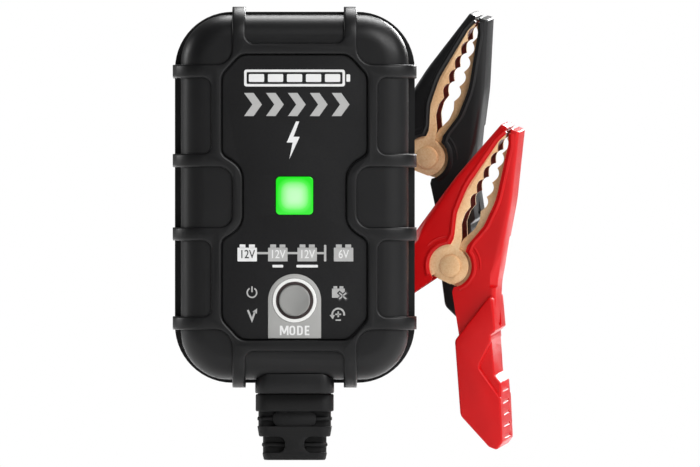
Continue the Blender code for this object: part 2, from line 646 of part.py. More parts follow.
def sheet_jaw(role):
    """Right sheet metal jaw: a U section with a toothed edge, two lugs and a tang."""
    depth = METAL_DEPTH[role]
    throat = [(1.9, 13.2, 1.2), (1.7, 10.5, 3), (0.2, 7.3, 0), (-0.8, 2.0, 0)]
    tang = [(3.0, -3.6, 0), (9.9, -16.2, 0.4), (12.0, -15.2, 0.4), (6.6, -2.0, 3)]
    back = [(5.8, 8.0, 20), (5.1, 19.0, 20), (2.9, 28.0, 20), (1.2, 35.0, 0.3)]
    edge = outline([(0.2, 35.0, 0), *toothed_edge(), *throat, *tang, *back], 3)
    lug = LUG_RADIUS[role]
    piece = combine(plate("jaw", [edge], -depth, depth), "UNION",
                    rod("lug", (0, 0, 0), lug, 2 * depth, sides=24))
    inner = [(-9, 36, 0), (0.6, 36, 0), (2.1, 28.0, 0), (4.3, 19.0, 0), (5.0, 8.0, 0),
             (4.9, 5.6, 0), (6.6, 3.0, 0), (7.0, -1.0, 0), (5.4, -4.0, 0), (11.2, -14.8, 0),
             (9, -20, 0), (-9, -9, 0)]
    inside = plate("inside", [outline(inner)], METAL - depth, depth - METAL)
    below = block("below", (-8, -10, -12), (2.9, 10, LUG_FLAT_Z))
    hole = rod("hole", (0, 0, 0), RIVET_SHANK + 0.2, 20, sides=12)
    return combine(piece, "DIFFERENCE", inside, below, hole)


def mirrored(piece):
    """Turns a right half into a left half."""
    piece.data.transform(Matrix.Scale(-1, 4, (1, 0, 0)))
    piece.data.flip_normals()
    return piece


def rivet_solid():
    """A turned rivet: a shank between two low domed heads."""
    end = METAL_DEPTH["moving"] + 0.15
    head = [(0, end + 0.75), (1.5, end + 0.7), (2.4, end + 0.45), (RIVET_HEAD, end),
            (RIVET_SHANK, end)]
    profile = head + [(radius, -y) for radius, y in reversed(head)]
    mesh = bmesh.new()
    verts = [mesh.verts.new((radius * MM, y * MM, 0)) for radius, y in profile]
    for first, second in zip(verts, verts[1:]):
        mesh.edges.new((first, second))
    data = bpy.data.meshes.new("rivet")
    mesh.to_mesh(data)
    mesh.free()
    piece = link(bpy.data.objects.new("rivet", data))
    turn = piece.modifiers.new("turn", "SCREW")
    turn.axis = "Y"
    turn.steps = turn.render_steps = 16
    turn.use_merge_vertices = True
    turn.merge_threshold = 0.00001
    return baked(piece)


def spring_solid():
    """Torsion spring round the rivet, with one leg in each handle."""
    steps = 10
    half_length = 1.45
    start = radians(10)
    sweep = 2 * pi * SPRING_TURNS + pi - 2 * start
    count = round(steps * sweep / (2 * pi))
    route = [Vector((9.3, half_length, -15.2)), Vector((5.6, half_length, -8.0))]
    for k in range(count + 1):
        share = k / count
        angle = start + sweep * share
        route.append(Vector((SPRING_RADIUS * cos(angle), half_length * (1 - 2 * share),
                             SPRING_RADIUS * sin(angle))))
    route += [Vector((-5.6, -half_length, -8.0)), Vector((-9.3, -half_length, -15.2))]
    curve = bpy.data.curves.new("spring", "CURVE")
    curve.dimensions = "3D"
    curve.bevel_depth = SPRING_WIRE / 2 * MM
    curve.bevel_resolution = 1
    curve.use_fill_caps = True
    spline = curve.splines.new("POLY")
    spline.points.add(len(route) - 1)
    for point, place in zip(spline.points, route):
        point.co = (*(place * MM), 1)
    return baked(link(bpy.data.objects.new("spring", curve)))


def spring_clamp(colour):
    """One clamp: two plastic halves, two toothed jaws, a rivet and a spring."""
    facts = CLAMPS[colour]
    pivot = link(bpy.data.objects.new(colour + "_clamp_rivet_axis", None))
    pivot.matrix_world = (
        Matrix.Translation(Vector(facts["rivet"]) * MM)
        @ Matrix.Rotation(-CLAMP_YAW, 4, "Z")
        @ Matrix.Rotation(CLAMP_PITCH, 4, "X")
        @ Matrix.Rotation(facts["lean"], 4, "Y"))
    name = colour + "_clamp_"
    finished(jaw_cover("fixed"), name + "fixed_handle", facts["plastic"], pivot)
    finished(mirrored(jaw_cover("moving")), name + "moving_handle", facts["plastic"], pivot)
    finished(sheet_jaw("fixed"), name + "fixed_jaw", "copper_plate", pivot)
    finished(mirrored(sheet_jaw("moving")), name + "moving_jaw", "copper_plate", pivot)
    finished(rivet_solid(), name + "rivet", "copper_plate", pivot)
    finished(spring_solid(), name + "spring", "spring_steel", pivot)


clear_scene()
front_housing()
rear_housing()
gasket()
face_pieces()
mode_button()
board_pieces()
power_parts()
mains_side()
cable_exit()
for clamp_colour in CLAMPS:
    spring_clamp(clamp_colour)
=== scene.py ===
"""Looks of a plug-in motorcycle battery charger with its two spring clamps.

Pieces are modelled in millimetres and brought to metres when they are handed over to their body.
The charger's front faces -Y. A clamp is modelled with its rivet at the origin and its jaws upward.
"""
import json
from math import asin, atan2, cos, pi, radians, sin, tan

import bmesh
import bpy
from mathutils import Matrix, Vector


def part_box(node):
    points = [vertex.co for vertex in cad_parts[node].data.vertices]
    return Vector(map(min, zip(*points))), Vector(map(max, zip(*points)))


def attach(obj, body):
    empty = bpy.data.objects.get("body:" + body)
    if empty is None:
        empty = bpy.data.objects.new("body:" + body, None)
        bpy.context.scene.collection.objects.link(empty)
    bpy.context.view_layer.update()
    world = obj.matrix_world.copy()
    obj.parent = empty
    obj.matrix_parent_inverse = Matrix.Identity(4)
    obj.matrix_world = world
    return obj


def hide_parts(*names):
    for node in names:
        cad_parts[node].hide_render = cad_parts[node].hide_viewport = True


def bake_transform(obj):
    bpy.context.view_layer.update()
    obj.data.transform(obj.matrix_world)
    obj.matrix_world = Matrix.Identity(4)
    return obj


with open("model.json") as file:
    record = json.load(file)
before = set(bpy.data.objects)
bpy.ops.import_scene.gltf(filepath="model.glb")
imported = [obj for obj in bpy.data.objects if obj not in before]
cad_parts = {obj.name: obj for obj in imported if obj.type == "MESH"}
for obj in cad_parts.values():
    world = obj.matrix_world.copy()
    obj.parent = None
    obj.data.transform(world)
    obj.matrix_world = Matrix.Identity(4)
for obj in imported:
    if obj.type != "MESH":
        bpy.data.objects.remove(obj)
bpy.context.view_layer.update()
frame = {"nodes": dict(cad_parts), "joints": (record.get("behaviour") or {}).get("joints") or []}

MM = 0.001
IDENTITY = Matrix.Identity(4)
TURNS = {"X": (0, pi / 2, 0), "Y": (-pi / 2, 0, 0), "Z": (0, 0, 0)}     # lay a cylinder along an axis
SMOOTH_ANGLE = radians(32)               # edges sharper than this stay crisp in the shading


def node_box(node):
    """Lowest and highest corner of a CAD node, in millimetres."""
    return [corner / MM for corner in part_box(node)]


# ---------------------------------------------------------------- driving dimensions, in millimetres
REAR_LOW, REAR_HIGH = node_box("rear_housing")
SHELL_LOW, SHELL_HIGH = node_box("front_housing")
PLATE_LOW, PLATE_HIGH = node_box("face_plate")
WINDOW_LOW, WINDOW_HIGH = node_box("light_window")
BUTTON_LOW, BUTTON_HIGH = node_box("mode_button")
BOOT_LOW, BOOT_HIGH = node_box("cable_boot")
COLLAR_LOW, COLLAR_HIGH = node_box("cable_collar")

ARMOUR_PROUD = 2.0                       # how far the ribs stand out at the sides
FACE_PROUD = 0.8                         # and at the front
SHELL_HALF = (SHELL_HIGH.x - ARMOUR_PROUD, SHELL_HIGH.z - ARMOUR_PROUD)
SHELL_FRONT = SHELL_LOW.y + FACE_PROUD
SHELL_BACK = SHELL_HIGH.y
SHELL_CORNER = 11.6
SHELL_EDGE = 6.0
WALL = 2.0
FIT = 0.3                                # clearance between neighbouring mouldings
CORNER_STEPS = 14
REAR_PROUD = 0.45                        # the rib ends on the rear housing
REAR_HALF = (REAR_HIGH.x - REAR_PROUD, REAR_HIGH.z - REAR_PROUD)
REAR_FRONT = REAR_LOW.y
REAR_CORNER = 14.0
REAR_EDGE = 2.5
RIB_WIDTH = 3.2
SIDE_RIBS_Z = (8.9, 30.5)
RIB_HEIGHTS = (-SIDE_RIBS_Z[1], -SIDE_RIBS_Z[0], *SIDE_RIBS_Z)
END_RIB_X = 13.5
RING_SIDE_X = 20.2
RING_WAIST_X = 15.1
RING_END_Z = 37.3
SOFT_EDGE = 0.55                         # rounding of the moulded ribs

PLATE_HALF = (PLATE_HIGH.x, PLATE_HIGH.z)
PLATE_WAIST = 12.3
PLATE_FRONT = PLATE_LOW.y
PLATE_BACK = PLATE_HIGH.y
WINDOW_MIDDLE = (WINDOW_LOW + WINDOW_HIGH) / 2
BUTTON_Z = (BUTTON_LOW.z + BUTTON_HIGH.z) / 2
BUTTON_RADIUS = 3.8
BADGE_HALF = 6.43
PRINT = 0.03                             # thickness of the printed marks

SCREW_AT = (20.5, 37.0)
LABEL_HALF = (18.6, 14.6)
LABEL_Z = -17
CABLE_Y = (BOOT_LOW.y + BOOT_HIGH.y) / 2
BOOT_TOP = -47.8
BOOT_END = BOOT_LOW.z
GROOVE_Z = -53.7                         # middle of the boot's ring groove
NECK_HOLE = 4.6
BLADE_X = 6.35
BLADE_Z = 13.0

JAW_DEPTH = 4.6                          # half depths of a clamp's plastic
GRIP_DEPTH = 7.0
METAL_DEPTH = {"fixed": 2.9, "moving": 3.9}
LUG_RADIUS = {"fixed": 5.1, "moving": 4.5}
METAL = 0.8
LUG_FLAT_Z = -4.2
RIVET_HEAD = 2.7
TOOTH_PITCH = 3.8
TOOTH_DEPTH = 0.9
TEETH_TOP = 34.2
TEETH = 5
LEAN = {"red": radians(24.6), "black": radians(21.4)}


# ---------------------------------------------------------------- modelling, as by hand
def only(piece):
    """Selects one object and makes it active."""
    bpy.ops.object.select_all(action="DESELECT")
    piece.select_set(True)
    bpy.context.view_layer.objects.active = piece
    return piece


def settle(piece):
    """Puts an object's place into its mesh."""
    only(piece)
    bpy.ops.object.transform_apply(location=True, rotation=True, scale=True)
    return piece


def cube(low, high):
    """A box between two corners."""
    bpy.ops.object.select_all(action="DESELECT")
    middle = [(a + b) / 2 for a, b in zip(low, high)]
    size = [b - a for a, b in zip(low, high)]
    bpy.ops.mesh.primitive_cube_add(size=1, location=middle, scale=size)
    return settle(bpy.context.object)


def cylinder(centre, radius, length, axis="Y", sides=64):
    """A cylinder about centre along an axis."""
    bpy.ops.object.select_all(action="DESELECT")
    bpy.ops.mesh.primitive_cylinder_add(
        vertices=sides, radius=radius, depth=length, location=centre, rotation=TURNS[axis])
    return settle(bpy.context.object)


def pick(piece, kind, test):
    """Opens a piece in edit mode with the edges or faces that test picks."""
    only(piece)
    bpy.ops.object.mode_set(mode="EDIT")
    bpy.ops.mesh.select_mode(type=kind)
    bpy.ops.mesh.select_all(action="DESELECT")
    mesh = bmesh.from_edit_mesh(piece.data)
    mesh.normal_update()
    parts = {"EDGE": mesh.edges, "FACE": mesh.faces, "VERT": mesh.verts}[kind]
    chosen = [part for part in parts if test(part)]
    for part in chosen:
        part.select_set(True)
    bmesh.update_edit_mesh(piece.data)
    return len(chosen)


def close_edit():
    """Leaves edit mode."""
    bpy.ops.object.mode_set(mode="OBJECT")


def round_edges(piece, width, segments, test, clamp=True):
    """Rounds the edges that test picks."""
    if pick(piece, "EDGE", test):
        bpy.ops.mesh.bevel(offset=width, segments=segments, profile=0.5, affect="EDGES",
                           clamp_overlap=clamp)
    close_edit()
    return piece


def along(axis):
    """Picks the edges that run along one axis."""
    def test(edge):
        way = (edge.verts[0].co - edge.verts[1].co).normalized()
        return abs(way["XYZ".index(axis)]) > 0.999
    return test


def at_depth(*depths):
    """Picks the sharp edges that lie at one of some depths."""
    def test(edge):
        return (edge.calc_face_angle(0) > radians(30)
                and any(all(abs(v.co.y - d) < 0.01 for v in edge.verts) for d in depths))
    return test


def convex(angle, near=lambda place: True):
    """Picks the outward edges sharper than an angle in degrees whose ends both pass near."""
    def test(edge):
        return (edge.is_convex and edge.calc_face_angle(0) > radians(angle)
                and all(near(v.co) for v in edge.verts))
    return test


def tidy(piece, one_face=False):
    """Welds a mesh, turns its faces outward and can join what lies in one plane."""
    only(piece)
    bpy.ops.object.mode_set(mode="EDIT")
    bpy.ops.mesh.select_all(action="SELECT")
    bpy.ops.mesh.remove_doubles(threshold=0.002)
    bpy.ops.mesh.normals_make_consistent(inside=False)
    if one_face:
        bpy.ops.mesh.dissolve_limited(angle_limit=radians(0.2))
    close_edit()
    return piece


def boolean(piece, operation, *tools):
    """Cuts, joins or crosses a piece with closed tools, which are used up."""
    for tool in tools:
        change = piece.modifiers.new("change", "BOOLEAN")
        change.operation = operation
        change.solver = "EXACT"
        change.object = tool
        only(piece)
        bpy.ops.object.modifier_apply(modifier=change.name)
        bpy.data.objects.remove(tool, do_unlink=True)
    return piece


def outline(corners, steps=6):
    """Points of a closed outline of corners (x, z, radius), each rounded by an arc."""
    points = []
    for i, (x, z, radius) in enumerate(corners):
        here = Vector((x, z))
        before = (Vector(corners[i - 1][:2]) - here).normalized()
        after = (Vector(corners[(i + 1) % len(corners)][:2]) - here).normalized()
        if radius == 0:
            points.append(here)
            continue
        half = before.angle(after) / 2
        centre = here + (before + after).normalized() * radius / sin(half)
        arm = here + before * radius / tan(half) - centre
        sweep = (pi - 2 * half) * (-1 if before.cross(after) > 0 else 1)
        for k in range(steps + 1):
            points.append(centre + Matrix.Rotation(sweep * k / steps, 2) @ arm)
    return points


def arc(radius, start, sweep, steps, x=0.0, z=0.0):
    """Points along an arc about (x, z), from a start angle through a sweep, in degrees."""
    turns = [radians(start + sweep * k / steps) for k in range(steps + 1)]
    return [Vector((x + radius * cos(t), z + radius * sin(t))) for t in turns]


def box_corners(half_x, half_z, radius, x, z):
    """Corners of a rounded rectangle about (x, z)."""
    return [(x - half_x, z - half_z, radius), (x + half_x, z - half_z, radius),
            (x + half_x, z + half_z, radius), (x - half_x, z + half_z, radius)]


def flat(loops, front, back):
    """A flat piece cut to closed loops of (x, z) points, from depth front to depth back."""
    drawing = bpy.data.curves.new("flat", "CURVE")
    drawing.dimensions = "2D"
    drawing.fill_mode = "BOTH"
    drawing.extrude = (back - front) / 2
    for loop in loops:
        spline = drawing.splines.new("POLY")
        spline.points.add(len(loop) - 1)
        for point, (x, z) in zip(spline.points, loop):
            point.co = (x, z, 0, 1)
        spline.use_cyclic_u = True
    piece = bpy.data.objects.new("flat", drawing)
    bpy.context.scene.collection.objects.link(piece)
    piece.rotation_euler.x = pi / 2
    piece.location.y = (front + back) / 2
    only(piece)
    bpy.ops.object.convert(target="MESH")
    return tidy(settle(bpy.context.object), one_face=len(loops) == 1)


def turned(profile, steps):
    """A solid turned about the Y axis from points (radius, height)."""
    data = bpy.data.meshes.new("turned")
    piece = bpy.data.objects.new("turned", data)
    bpy.context.scene.collection.objects.link(piece)
    mesh = bmesh.new()
    verts = [mesh.verts.new((radius, height, 0)) for radius, height in profile]
    for first, second in zip(verts, verts[1:]):
        mesh.edges.new((first, second))
    mesh.to_mesh(data)
    mesh.free()
    turn = piece.modifiers.new("turn", "SCREW")
    turn.axis = "Y"
    turn.steps = turn.render_steps = steps
    turn.use_merge_vertices = True
    turn.merge_threshold = 0.001
    only(piece)
    bpy.ops.object.modifier_apply(modifier=turn.name)
    return tidy(piece)


def wire(points, radius):
    """A round wire through points, with closed ends."""
    drawing = bpy.data.curves.new("wire", "CURVE")
    drawing.dimensions = "3D"
    drawing.bevel_depth = radius
    drawing.bevel_resolution = 3
    drawing.use_fill_caps = True
    spline = drawing.splines.new("POLY")
    spline.points.add(len(points) - 1)
    for point, place in zip(spline.points, points):
        point.co = (*place, 1)
    piece = bpy.data.objects.new("wire", drawing)
    bpy.context.scene.collection.objects.link(piece)
    only(piece)
    bpy.ops.object.convert(target="MESH")
    return tidy(bpy.context.object)


def mirrored(piece):
    """Turns a right half into a left half."""
    piece.scale.x = -1
    settle(piece)
    return tidy(piece)


def join(pieces):
    """Joins pieces that lie apart into one object."""
    only(pieces[0])
    for piece in pieces:
        piece.select_set(True)
    bpy.ops.object.join()
    return bpy.context.object


def hand_over(piece, name, skins, body, nodes=(), place=IDENTITY):
    """Names a finished piece, brings it to metres, gives it its materials and body, and hides the CAD nodes
    it replaces.
    """
    piece.name = name
    piece.data.name = name
    piece.matrix_world = Matrix.Scale(MM, 4) @ place @ piece.matrix_world
    settle(piece)
    bpy.ops.object.shade_smooth_by_angle(angle=SMOOTH_ANGLE)
    faces = [face.material_index for face in piece.data.polygons]
    piece.data.materials.clear()
    for skin in skins if isinstance(skins, (list, tuple)) else [skins]:
        piece.data.materials.append(skin)
    piece.data.polygons.foreach_set("material_index", faces)
    if body:
        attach(piece, body)
    if nodes:
        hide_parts(*nodes)
    return piece


# ---------------------------------------------------------------- materials
def linear(code):
    """An sRGB hex colour as linear RGBA."""
    parts = [int(code[i:i + 2], 16) / 255 for i in (1, 3, 5)]
    return [c / 12.92 if c <= 0.04045 else ((c + 0.055) / 1.055) ** 2.4 for c in parts] + [1.0]


def per_mm(size):
    """The scale that gives a texture one feature in this many millimetres."""
    return 1 / (size * MM)


def new_material(name, colour, roughness, metallic=0.0, **sockets):
    """A Principled material and its node tree."""
    made = bpy.data.materials.new(name)
    made.use_nodes = True
    shader = made.node_tree.nodes["Principled BSDF"]
    shader.inputs["Base Color"].default_value = linear(colour)
    shader.inputs["Roughness"].default_value = roughness
    shader.inputs["Metallic"].default_value = metallic
    for socket, value in sockets.items():
        shader.inputs[socket.replace("_", " ")].default_value = value
    made.diffuse_color = linear(colour)
    return made, made.node_tree, shader


def add(tree, kind, links=None, **settings):
    """Adds a node, sets its values and links its inputs. A setting in capitals is an input."""
    node = tree.nodes.new("ShaderNode" + kind)
    for key, value in settings.items():
        if key[0].isupper():
            node.inputs[key.replace("_", " ")].default_value = value
        else:
            setattr(node, key, value)
    for key, source in (links or {}).items():
        tree.links.new(source, node.inputs[key])
    return node


def ramp(tree, source, *stops):
    """A colour ramp on a source, from stops of (place, hex colour or grey value)."""
    node = add(tree, "ValToRGB", {"Fac": source})
    while len(node.color_ramp.elements) < len(stops):
        node.color_ramp.elements.new(0.5)
    for element, (place, colour) in zip(node.color_ramp.elements, stops):
        element.position = place
        element.color = linear(colour) if isinstance(colour, str) else (colour,) * 3 + (1,)
    return node


def moulded(name, dark, light, roughness, grain, height, **sockets):
    """Moulded plastic: a spark-eroded grain, and slow drifts of colour and gloss."""
    made, tree, shader = new_material(name, dark, roughness, **sockets)
    place = add(tree, "TexCoord").outputs["Object"]
    fine = add(tree, "TexNoise", {"Vector": place}, Scale=per_mm(grain), Detail=3.0, Roughness=0.6)
    slow = add(tree, "TexNoise", {"Vector": place}, Scale=per_mm(14.0), Detail=2.0)
    colour = ramp(tree, slow.outputs["Fac"], (0.35, dark), (0.7, light))
    shine = add(tree, "MapRange", {"Value": fine.outputs["Fac"]}, From_Min=0.3, From_Max=0.7,
                To_Min=roughness * 0.9, To_Max=roughness * 1.1)
    bump = add(tree, "Bump", {"Height": fine.outputs["Fac"]}, Strength=0.35, Distance=height * MM)
    tree.links.new(colour.outputs["Color"], shader.inputs["Base Color"])
    tree.links.new(shine.outputs["Result"], shader.inputs["Roughness"])
    tree.links.new(bump.outputs["Normal"], shader.inputs["Normal"])
    return made


def housing_abs():
    """Black ABS, moulded with a fine spark-eroded texture, which breaks highlights up softly."""
    return moulded("housing_abs", "#0d0d0e", "#121213", 0.42, 0.5, 0.02, Specular_IOR_Level=0.3)


def rear_abs():
    """The same black ABS with a smoother tool finish."""
    return moulded("rear_abs", "#0b0b0c", "#101011", 0.48, 0.6, 0.02, Specular_IOR_Level=0.3)


def face_foil():
    """Reverse-printed polycarbonate foil: flat, matt, with a fine sandy sparkle."""
    return moulded("face_foil", "#131314", "#161617", 0.65, 0.45, 0.02, Specular_IOR_Level=0.2)


def boot_elastomer():
    """Black thermoplastic elastomer of the boot: soft, dull, a little dusty."""
    return moulded("boot_elastomer", "#0c0c0d", "#121212", 0.62, 0.5, 0.03, Specular_IOR_Level=0.25)


def seal_silicone():
    """Dark brown silicone round the button."""
    return moulded("seal_silicone", "#2c2020", "#352828", 0.6, 0.4, 0.01)


def clamp_plastic(colour):
    """Moulded polypropylene of the clamps: satin, with fine scuffs."""
    if colour == "red":
        return moulded("clamp_red_polypropylene", "#bf060a", "#c8090d", 0.38, 0.5, 0.012,
                       Specular_IOR_Level=0.25, Subsurface_Weight=0.04,
                       Subsurface_Radius=(0.002, 0.0005, 0.0005))
    return moulded("clamp_black_polypropylene", "#141415", "#19191a", 0.36, 0.5, 0.012,
                   Specular_IOR_Level=0.35)


def copper_plate():
    """Copper-plated pressed steel: a warm, satin metal with a fine rolled grain."""
    made, tree, shader = new_material("copper_plated_steel", "#f0c595", 0.42, 0.35)
    place = add(tree, "TexCoord").outputs["Object"]
    grit = add(tree, "TexNoise", {"Vector": place}, Scale=per_mm(0.45), Detail=4.0, Roughness=0.7)
    cloud = add(tree, "TexNoise", {"Vector": place}, Scale=per_mm(9.0), Detail=3.0)
    both = add(tree, "MixRGB", {"Color1": grit.outputs["Fac"], "Color2": cloud.outputs["Fac"]}, Fac=0.5)
    colour = ramp(tree, both.outputs["Color"], (0.35, "#e2b07e"), (0.5, "#f0c595"), (0.65, "#f9d9ad"))
    shine = add(tree, "MapRange", {"Value": grit.outputs["Fac"]}, To_Min=0.34, To_Max=0.52)
    bump = add(tree, "Bump", {"Height": grit.outputs["Fac"]}, Strength=0.4, Distance=0.015 * MM)
    tree.links.new(colour.outputs["Color"], shader.inputs["Base Color"])
    tree.links.new(shine.outputs["Result"], shader.inputs["Roughness"])
    tree.links.new(bump.outputs["Normal"], shader.inputs["Normal"])
    return made


def copper_in_painted_shade():
    """Copper on the inside of the jaws, painted dark red-brown as the shade that falls between the jaw walls.
    """
    made, tree, shader = new_material("copper_in_painted_shade", "#7a2413", 0.55, 0.3)
    place = add(tree, "TexCoord").outputs["Object"]
    grit = add(tree, "TexNoise", {"Vector": place}, Scale=per_mm(0.8), Detail=3.0)
    colour = ramp(tree, grit.outputs["Fac"], (0.3, "#5a150c"), (0.7, "#7d2515"))
    tree.links.new(colour.outputs["Color"], shader.inputs["Base Color"])
    return made


def lit_lens(low, high):
    """Diffusing acrylic lit from behind: pale in the middle, deep green at its edges."""
    made, tree, shader = new_material("lit_acrylic", "#3cff5a", 0.25)
    middle = (low + high) / 2 * MM
    half = (high - low) / 2 * MM
    place = add(tree, "TexCoord").outputs["Object"]
    centred = add(tree, "VectorMath", {0: place}, operation="SUBTRACT")
    centred.inputs[1].default_value = middle
    scaled = add(tree, "VectorMath", {0: centred.outputs["Vector"]}, operation="DIVIDE")
    scaled.inputs[1].default_value = (half.x, 1, half.z)
    split = add(tree, "SeparateXYZ", {"Vector": scaled.outputs["Vector"]})
    powers = []
    for axis in "XZ":
        square = add(tree, "Math", {0: split.outputs[axis]}, operation="ABSOLUTE")
        power = add(tree, "Math", {0: square.outputs["Value"]}, operation="POWER")
        power.inputs[1].default_value = 3.0
        powers.append(power.outputs["Value"])
    total = add(tree, "Math", {0: powers[0], 1: powers[1]}, operation="ADD")
    colour = ramp(tree, total.outputs["Value"],
                  (0.0, "#c4f8c2"), (0.12, "#a4f6a0"), (0.45, "#50f04c"), (0.85, "#1be31b"))
    tree.links.new(colour.outputs["Color"], shader.inputs["Emission Color"])
    shader.inputs["Base Color"].default_value = linear("#0a3a0a")
    shader.inputs["Emission Strength"].default_value = 1.0
    return made


def ink(name, code):
    """Screen-printed ink, dull and very slightly grainy."""
    return moulded(name, code, code, 0.65, 0.3, 0.005)


def bright_metal(name, code, roughness, streak):
    """Drawn or plated metal with fine streaks of gloss."""
    made, tree, shader = new_material(name, code, roughness, 1.0)
    place = add(tree, "TexCoord").outputs["Object"]
    drawn = add(tree, "Mapping", {"Vector": place}, Scale=(1.0, 0.12, 1.0))
    noise = add(tree, "TexNoise", {"Vector": drawn.outputs["Vector"]}, Scale=per_mm(streak), Detail=3.0)
    shine = add(tree, "MapRange", {"Value": noise.outputs["Fac"]}, To_Min=roughness * 0.7,
                To_Max=roughness * 1.3)
    bump = add(tree, "Bump", {"Height": noise.outputs["Fac"]}, Strength=0.2, Distance=0.01 * MM)
    tree.links.new(shine.outputs["Result"], shader.inputs["Roughness"])
    tree.links.new(bump.outputs["Normal"], shader.inputs["Normal"])
    return made


def board_laminate():
    """Glass-fibre laminate under green lacquer, with the weave just showing."""
    made, tree, shader = new_material("board_laminate", "#0e4a24", 0.4)
    place = add(tree, "TexCoord").outputs["Object"]
    weave = add(tree, "TexWave", {"Vector": place}, Scale=per_mm(6.0), Distortion=0.5)
    colour = ramp(tree, weave.outputs["Fac"], (0.2, "#0c4220"), (0.8, "#12562b"))
    tree.links.new(colour.outputs["Color"], shader.inputs["Base Color"])
    return made


# ---------------------------------------------------------------- housings
def housing_form(half, corner, edge, front, back, edge_at):
    """A rounded box, flat at both ends, with one rounded end edge."""
    form = cube((-half[0], front, -half[1]), (half[0], back, half[1]))
    round_edges(form, corner, CORNER_STEPS, along("Y"))
    return round_edges(form, edge, 8, at_depth(edge_at))


def shell_form(grow, face, back):
    """The front housing's form, grown at the sides by grow and at the front by face."""
    half = (SHELL_HALF[0] + grow, SHELL_HALF[1] + grow)
    front = SHELL_FRONT - face
    return housing_form(half, SHELL_CORNER + grow, SHELL_EDGE + grow, front, back, front)


def face_outline(grow=0.0):
    """The face plate's outline, with a narrow waist beside the window."""
    half_x = PLATE_HALF[0] + grow
    half_z = PLATE_HALF[1] + grow
    waist = PLATE_WAIST + grow
    quarter = [(waist, 7.3 - grow, 5.4), (half_x, 10.7 - grow, 2.2),
               (half_x, half_z - 5.0, 3.6), (half_x - 4.6, half_z, 3.6)]
    upper = quarter + [(-x, z, r) for x, z, r in reversed(quarter)]
    return outline(upper + [(x, -z, r) for x, z, r in reversed(upper)], 8)


def panel_cutters():
    """Blocks that sink the panels between the ribs, each past the edge of the body."""
    rib = RIB_WIDTH / 2
    far = 60.0
    low_z, high_z = SIDE_RIBS_Z
    loops = []
    for sx in (-1, 1):
        middle_z = low_z - rib
        loops.append([(sx * RING_WAIST_X, -middle_z, 3.2), (sx * far, -middle_z, 0),
                      (sx * far, middle_z, 0), (sx * RING_WAIST_X, middle_z, 3.2)])
        for sz in (-1, 1):
            near, out = sz * (low_z + rib), sz * (high_z - rib)
            loops.append([(sx * RING_SIDE_X, near, 2), (sx * far, near, 0),
                          (sx * far, out, 0), (sx * RING_SIDE_X, out, 2)])
            inner_x, inner_z = sx * (END_RIB_X + rib), sz * (high_z + rib)
            loops.append([(inner_x, inner_z, 3.9), (sx * far, inner_z, 0),
                          (sx * far, sz * far, 0), (inner_x, sz * far, 0)])
    for sz in (-1, 1):
        side = END_RIB_X - rib
        loops.append([(-side, sz * RING_END_Z, 2), (side, sz * RING_END_Z, 2),
                      (side, sz * far, 0), (-side, sz * far, 0)])
    return [flat([outline(loop, 6)], SHELL_FRONT - 5, SHELL_BACK + 9) for loop in loops]


def front_housing(skin):
    """Front moulding: ribs and ring band with softened edges on a sunk body, hollow inside."""
    spare = SHELL_BACK + 3
    armour = shell_form(ARMOUR_PROUD, FACE_PROUD, spare + 1)
    floor = PLATE_BACK + FIT
    armour = boolean(armour, "DIFFERENCE", *panel_cutters(),
                     flat([face_outline(FIT)], SHELL_FRONT - 10, floor))
    round_edges(armour, SOFT_EDGE, 3, convex(35, lambda place: place.y < spare + 0.9), clamp=False)
    body = boolean(shell_form(0, 0, spare), "DIFFERENCE",
                   flat([face_outline(FIT)], SHELL_FRONT - 10, floor))
    piece = boolean(body, "UNION", armour, *latch_tabs())
    hollow = housing_form((SHELL_HALF[0] - WALL, SHELL_HALF[1] - WALL), SHELL_CORNER - WALL,
                          SHELL_EDGE - WALL, floor + 1.8, SHELL_BACK + 9, floor + 1.8)
    behind = cube((-50, SHELL_BACK, -60), (50, SHELL_BACK + 20, 60))
    window = cube((-3.9, -40, WINDOW_MIDDLE.z - 3.9), (3.9, -20, WINDOW_MIDDLE.z + 3.9))
    button = cylinder((0, floor, BUTTON_Z), BUTTON_RADIUS + FIT, 8)
    neck = cylinder((0, CABLE_Y, -44), NECK_HOLE, 8, "Z")
    piece = boolean(piece, "DIFFERENCE", hollow, behind, window, button, neck)
    hand_over(piece, "front_shell", skin, "charger", ["front_housing"])


def latch_tabs():
    """Small tabs in the parting groove above each side rib, where the housings clip together."""
    tabs = []
    for z in RIB_HEIGHTS:
        low = z + RIB_WIDTH / 2 - 0.2
        for sx in (-1, 1):
            inner, outer = sx * (SHELL_HALF[0] - 1), sx * (SHELL_HALF[0] + 0.75)
            tab = cube((min(inner, outer), SHELL_BACK - 4.5, low),
                       (max(inner, outer), SHELL_BACK + 0.5, low + 1.7))
            tabs.append(round_edges(tab, 0.5, 3, along("Y")))
    return tabs


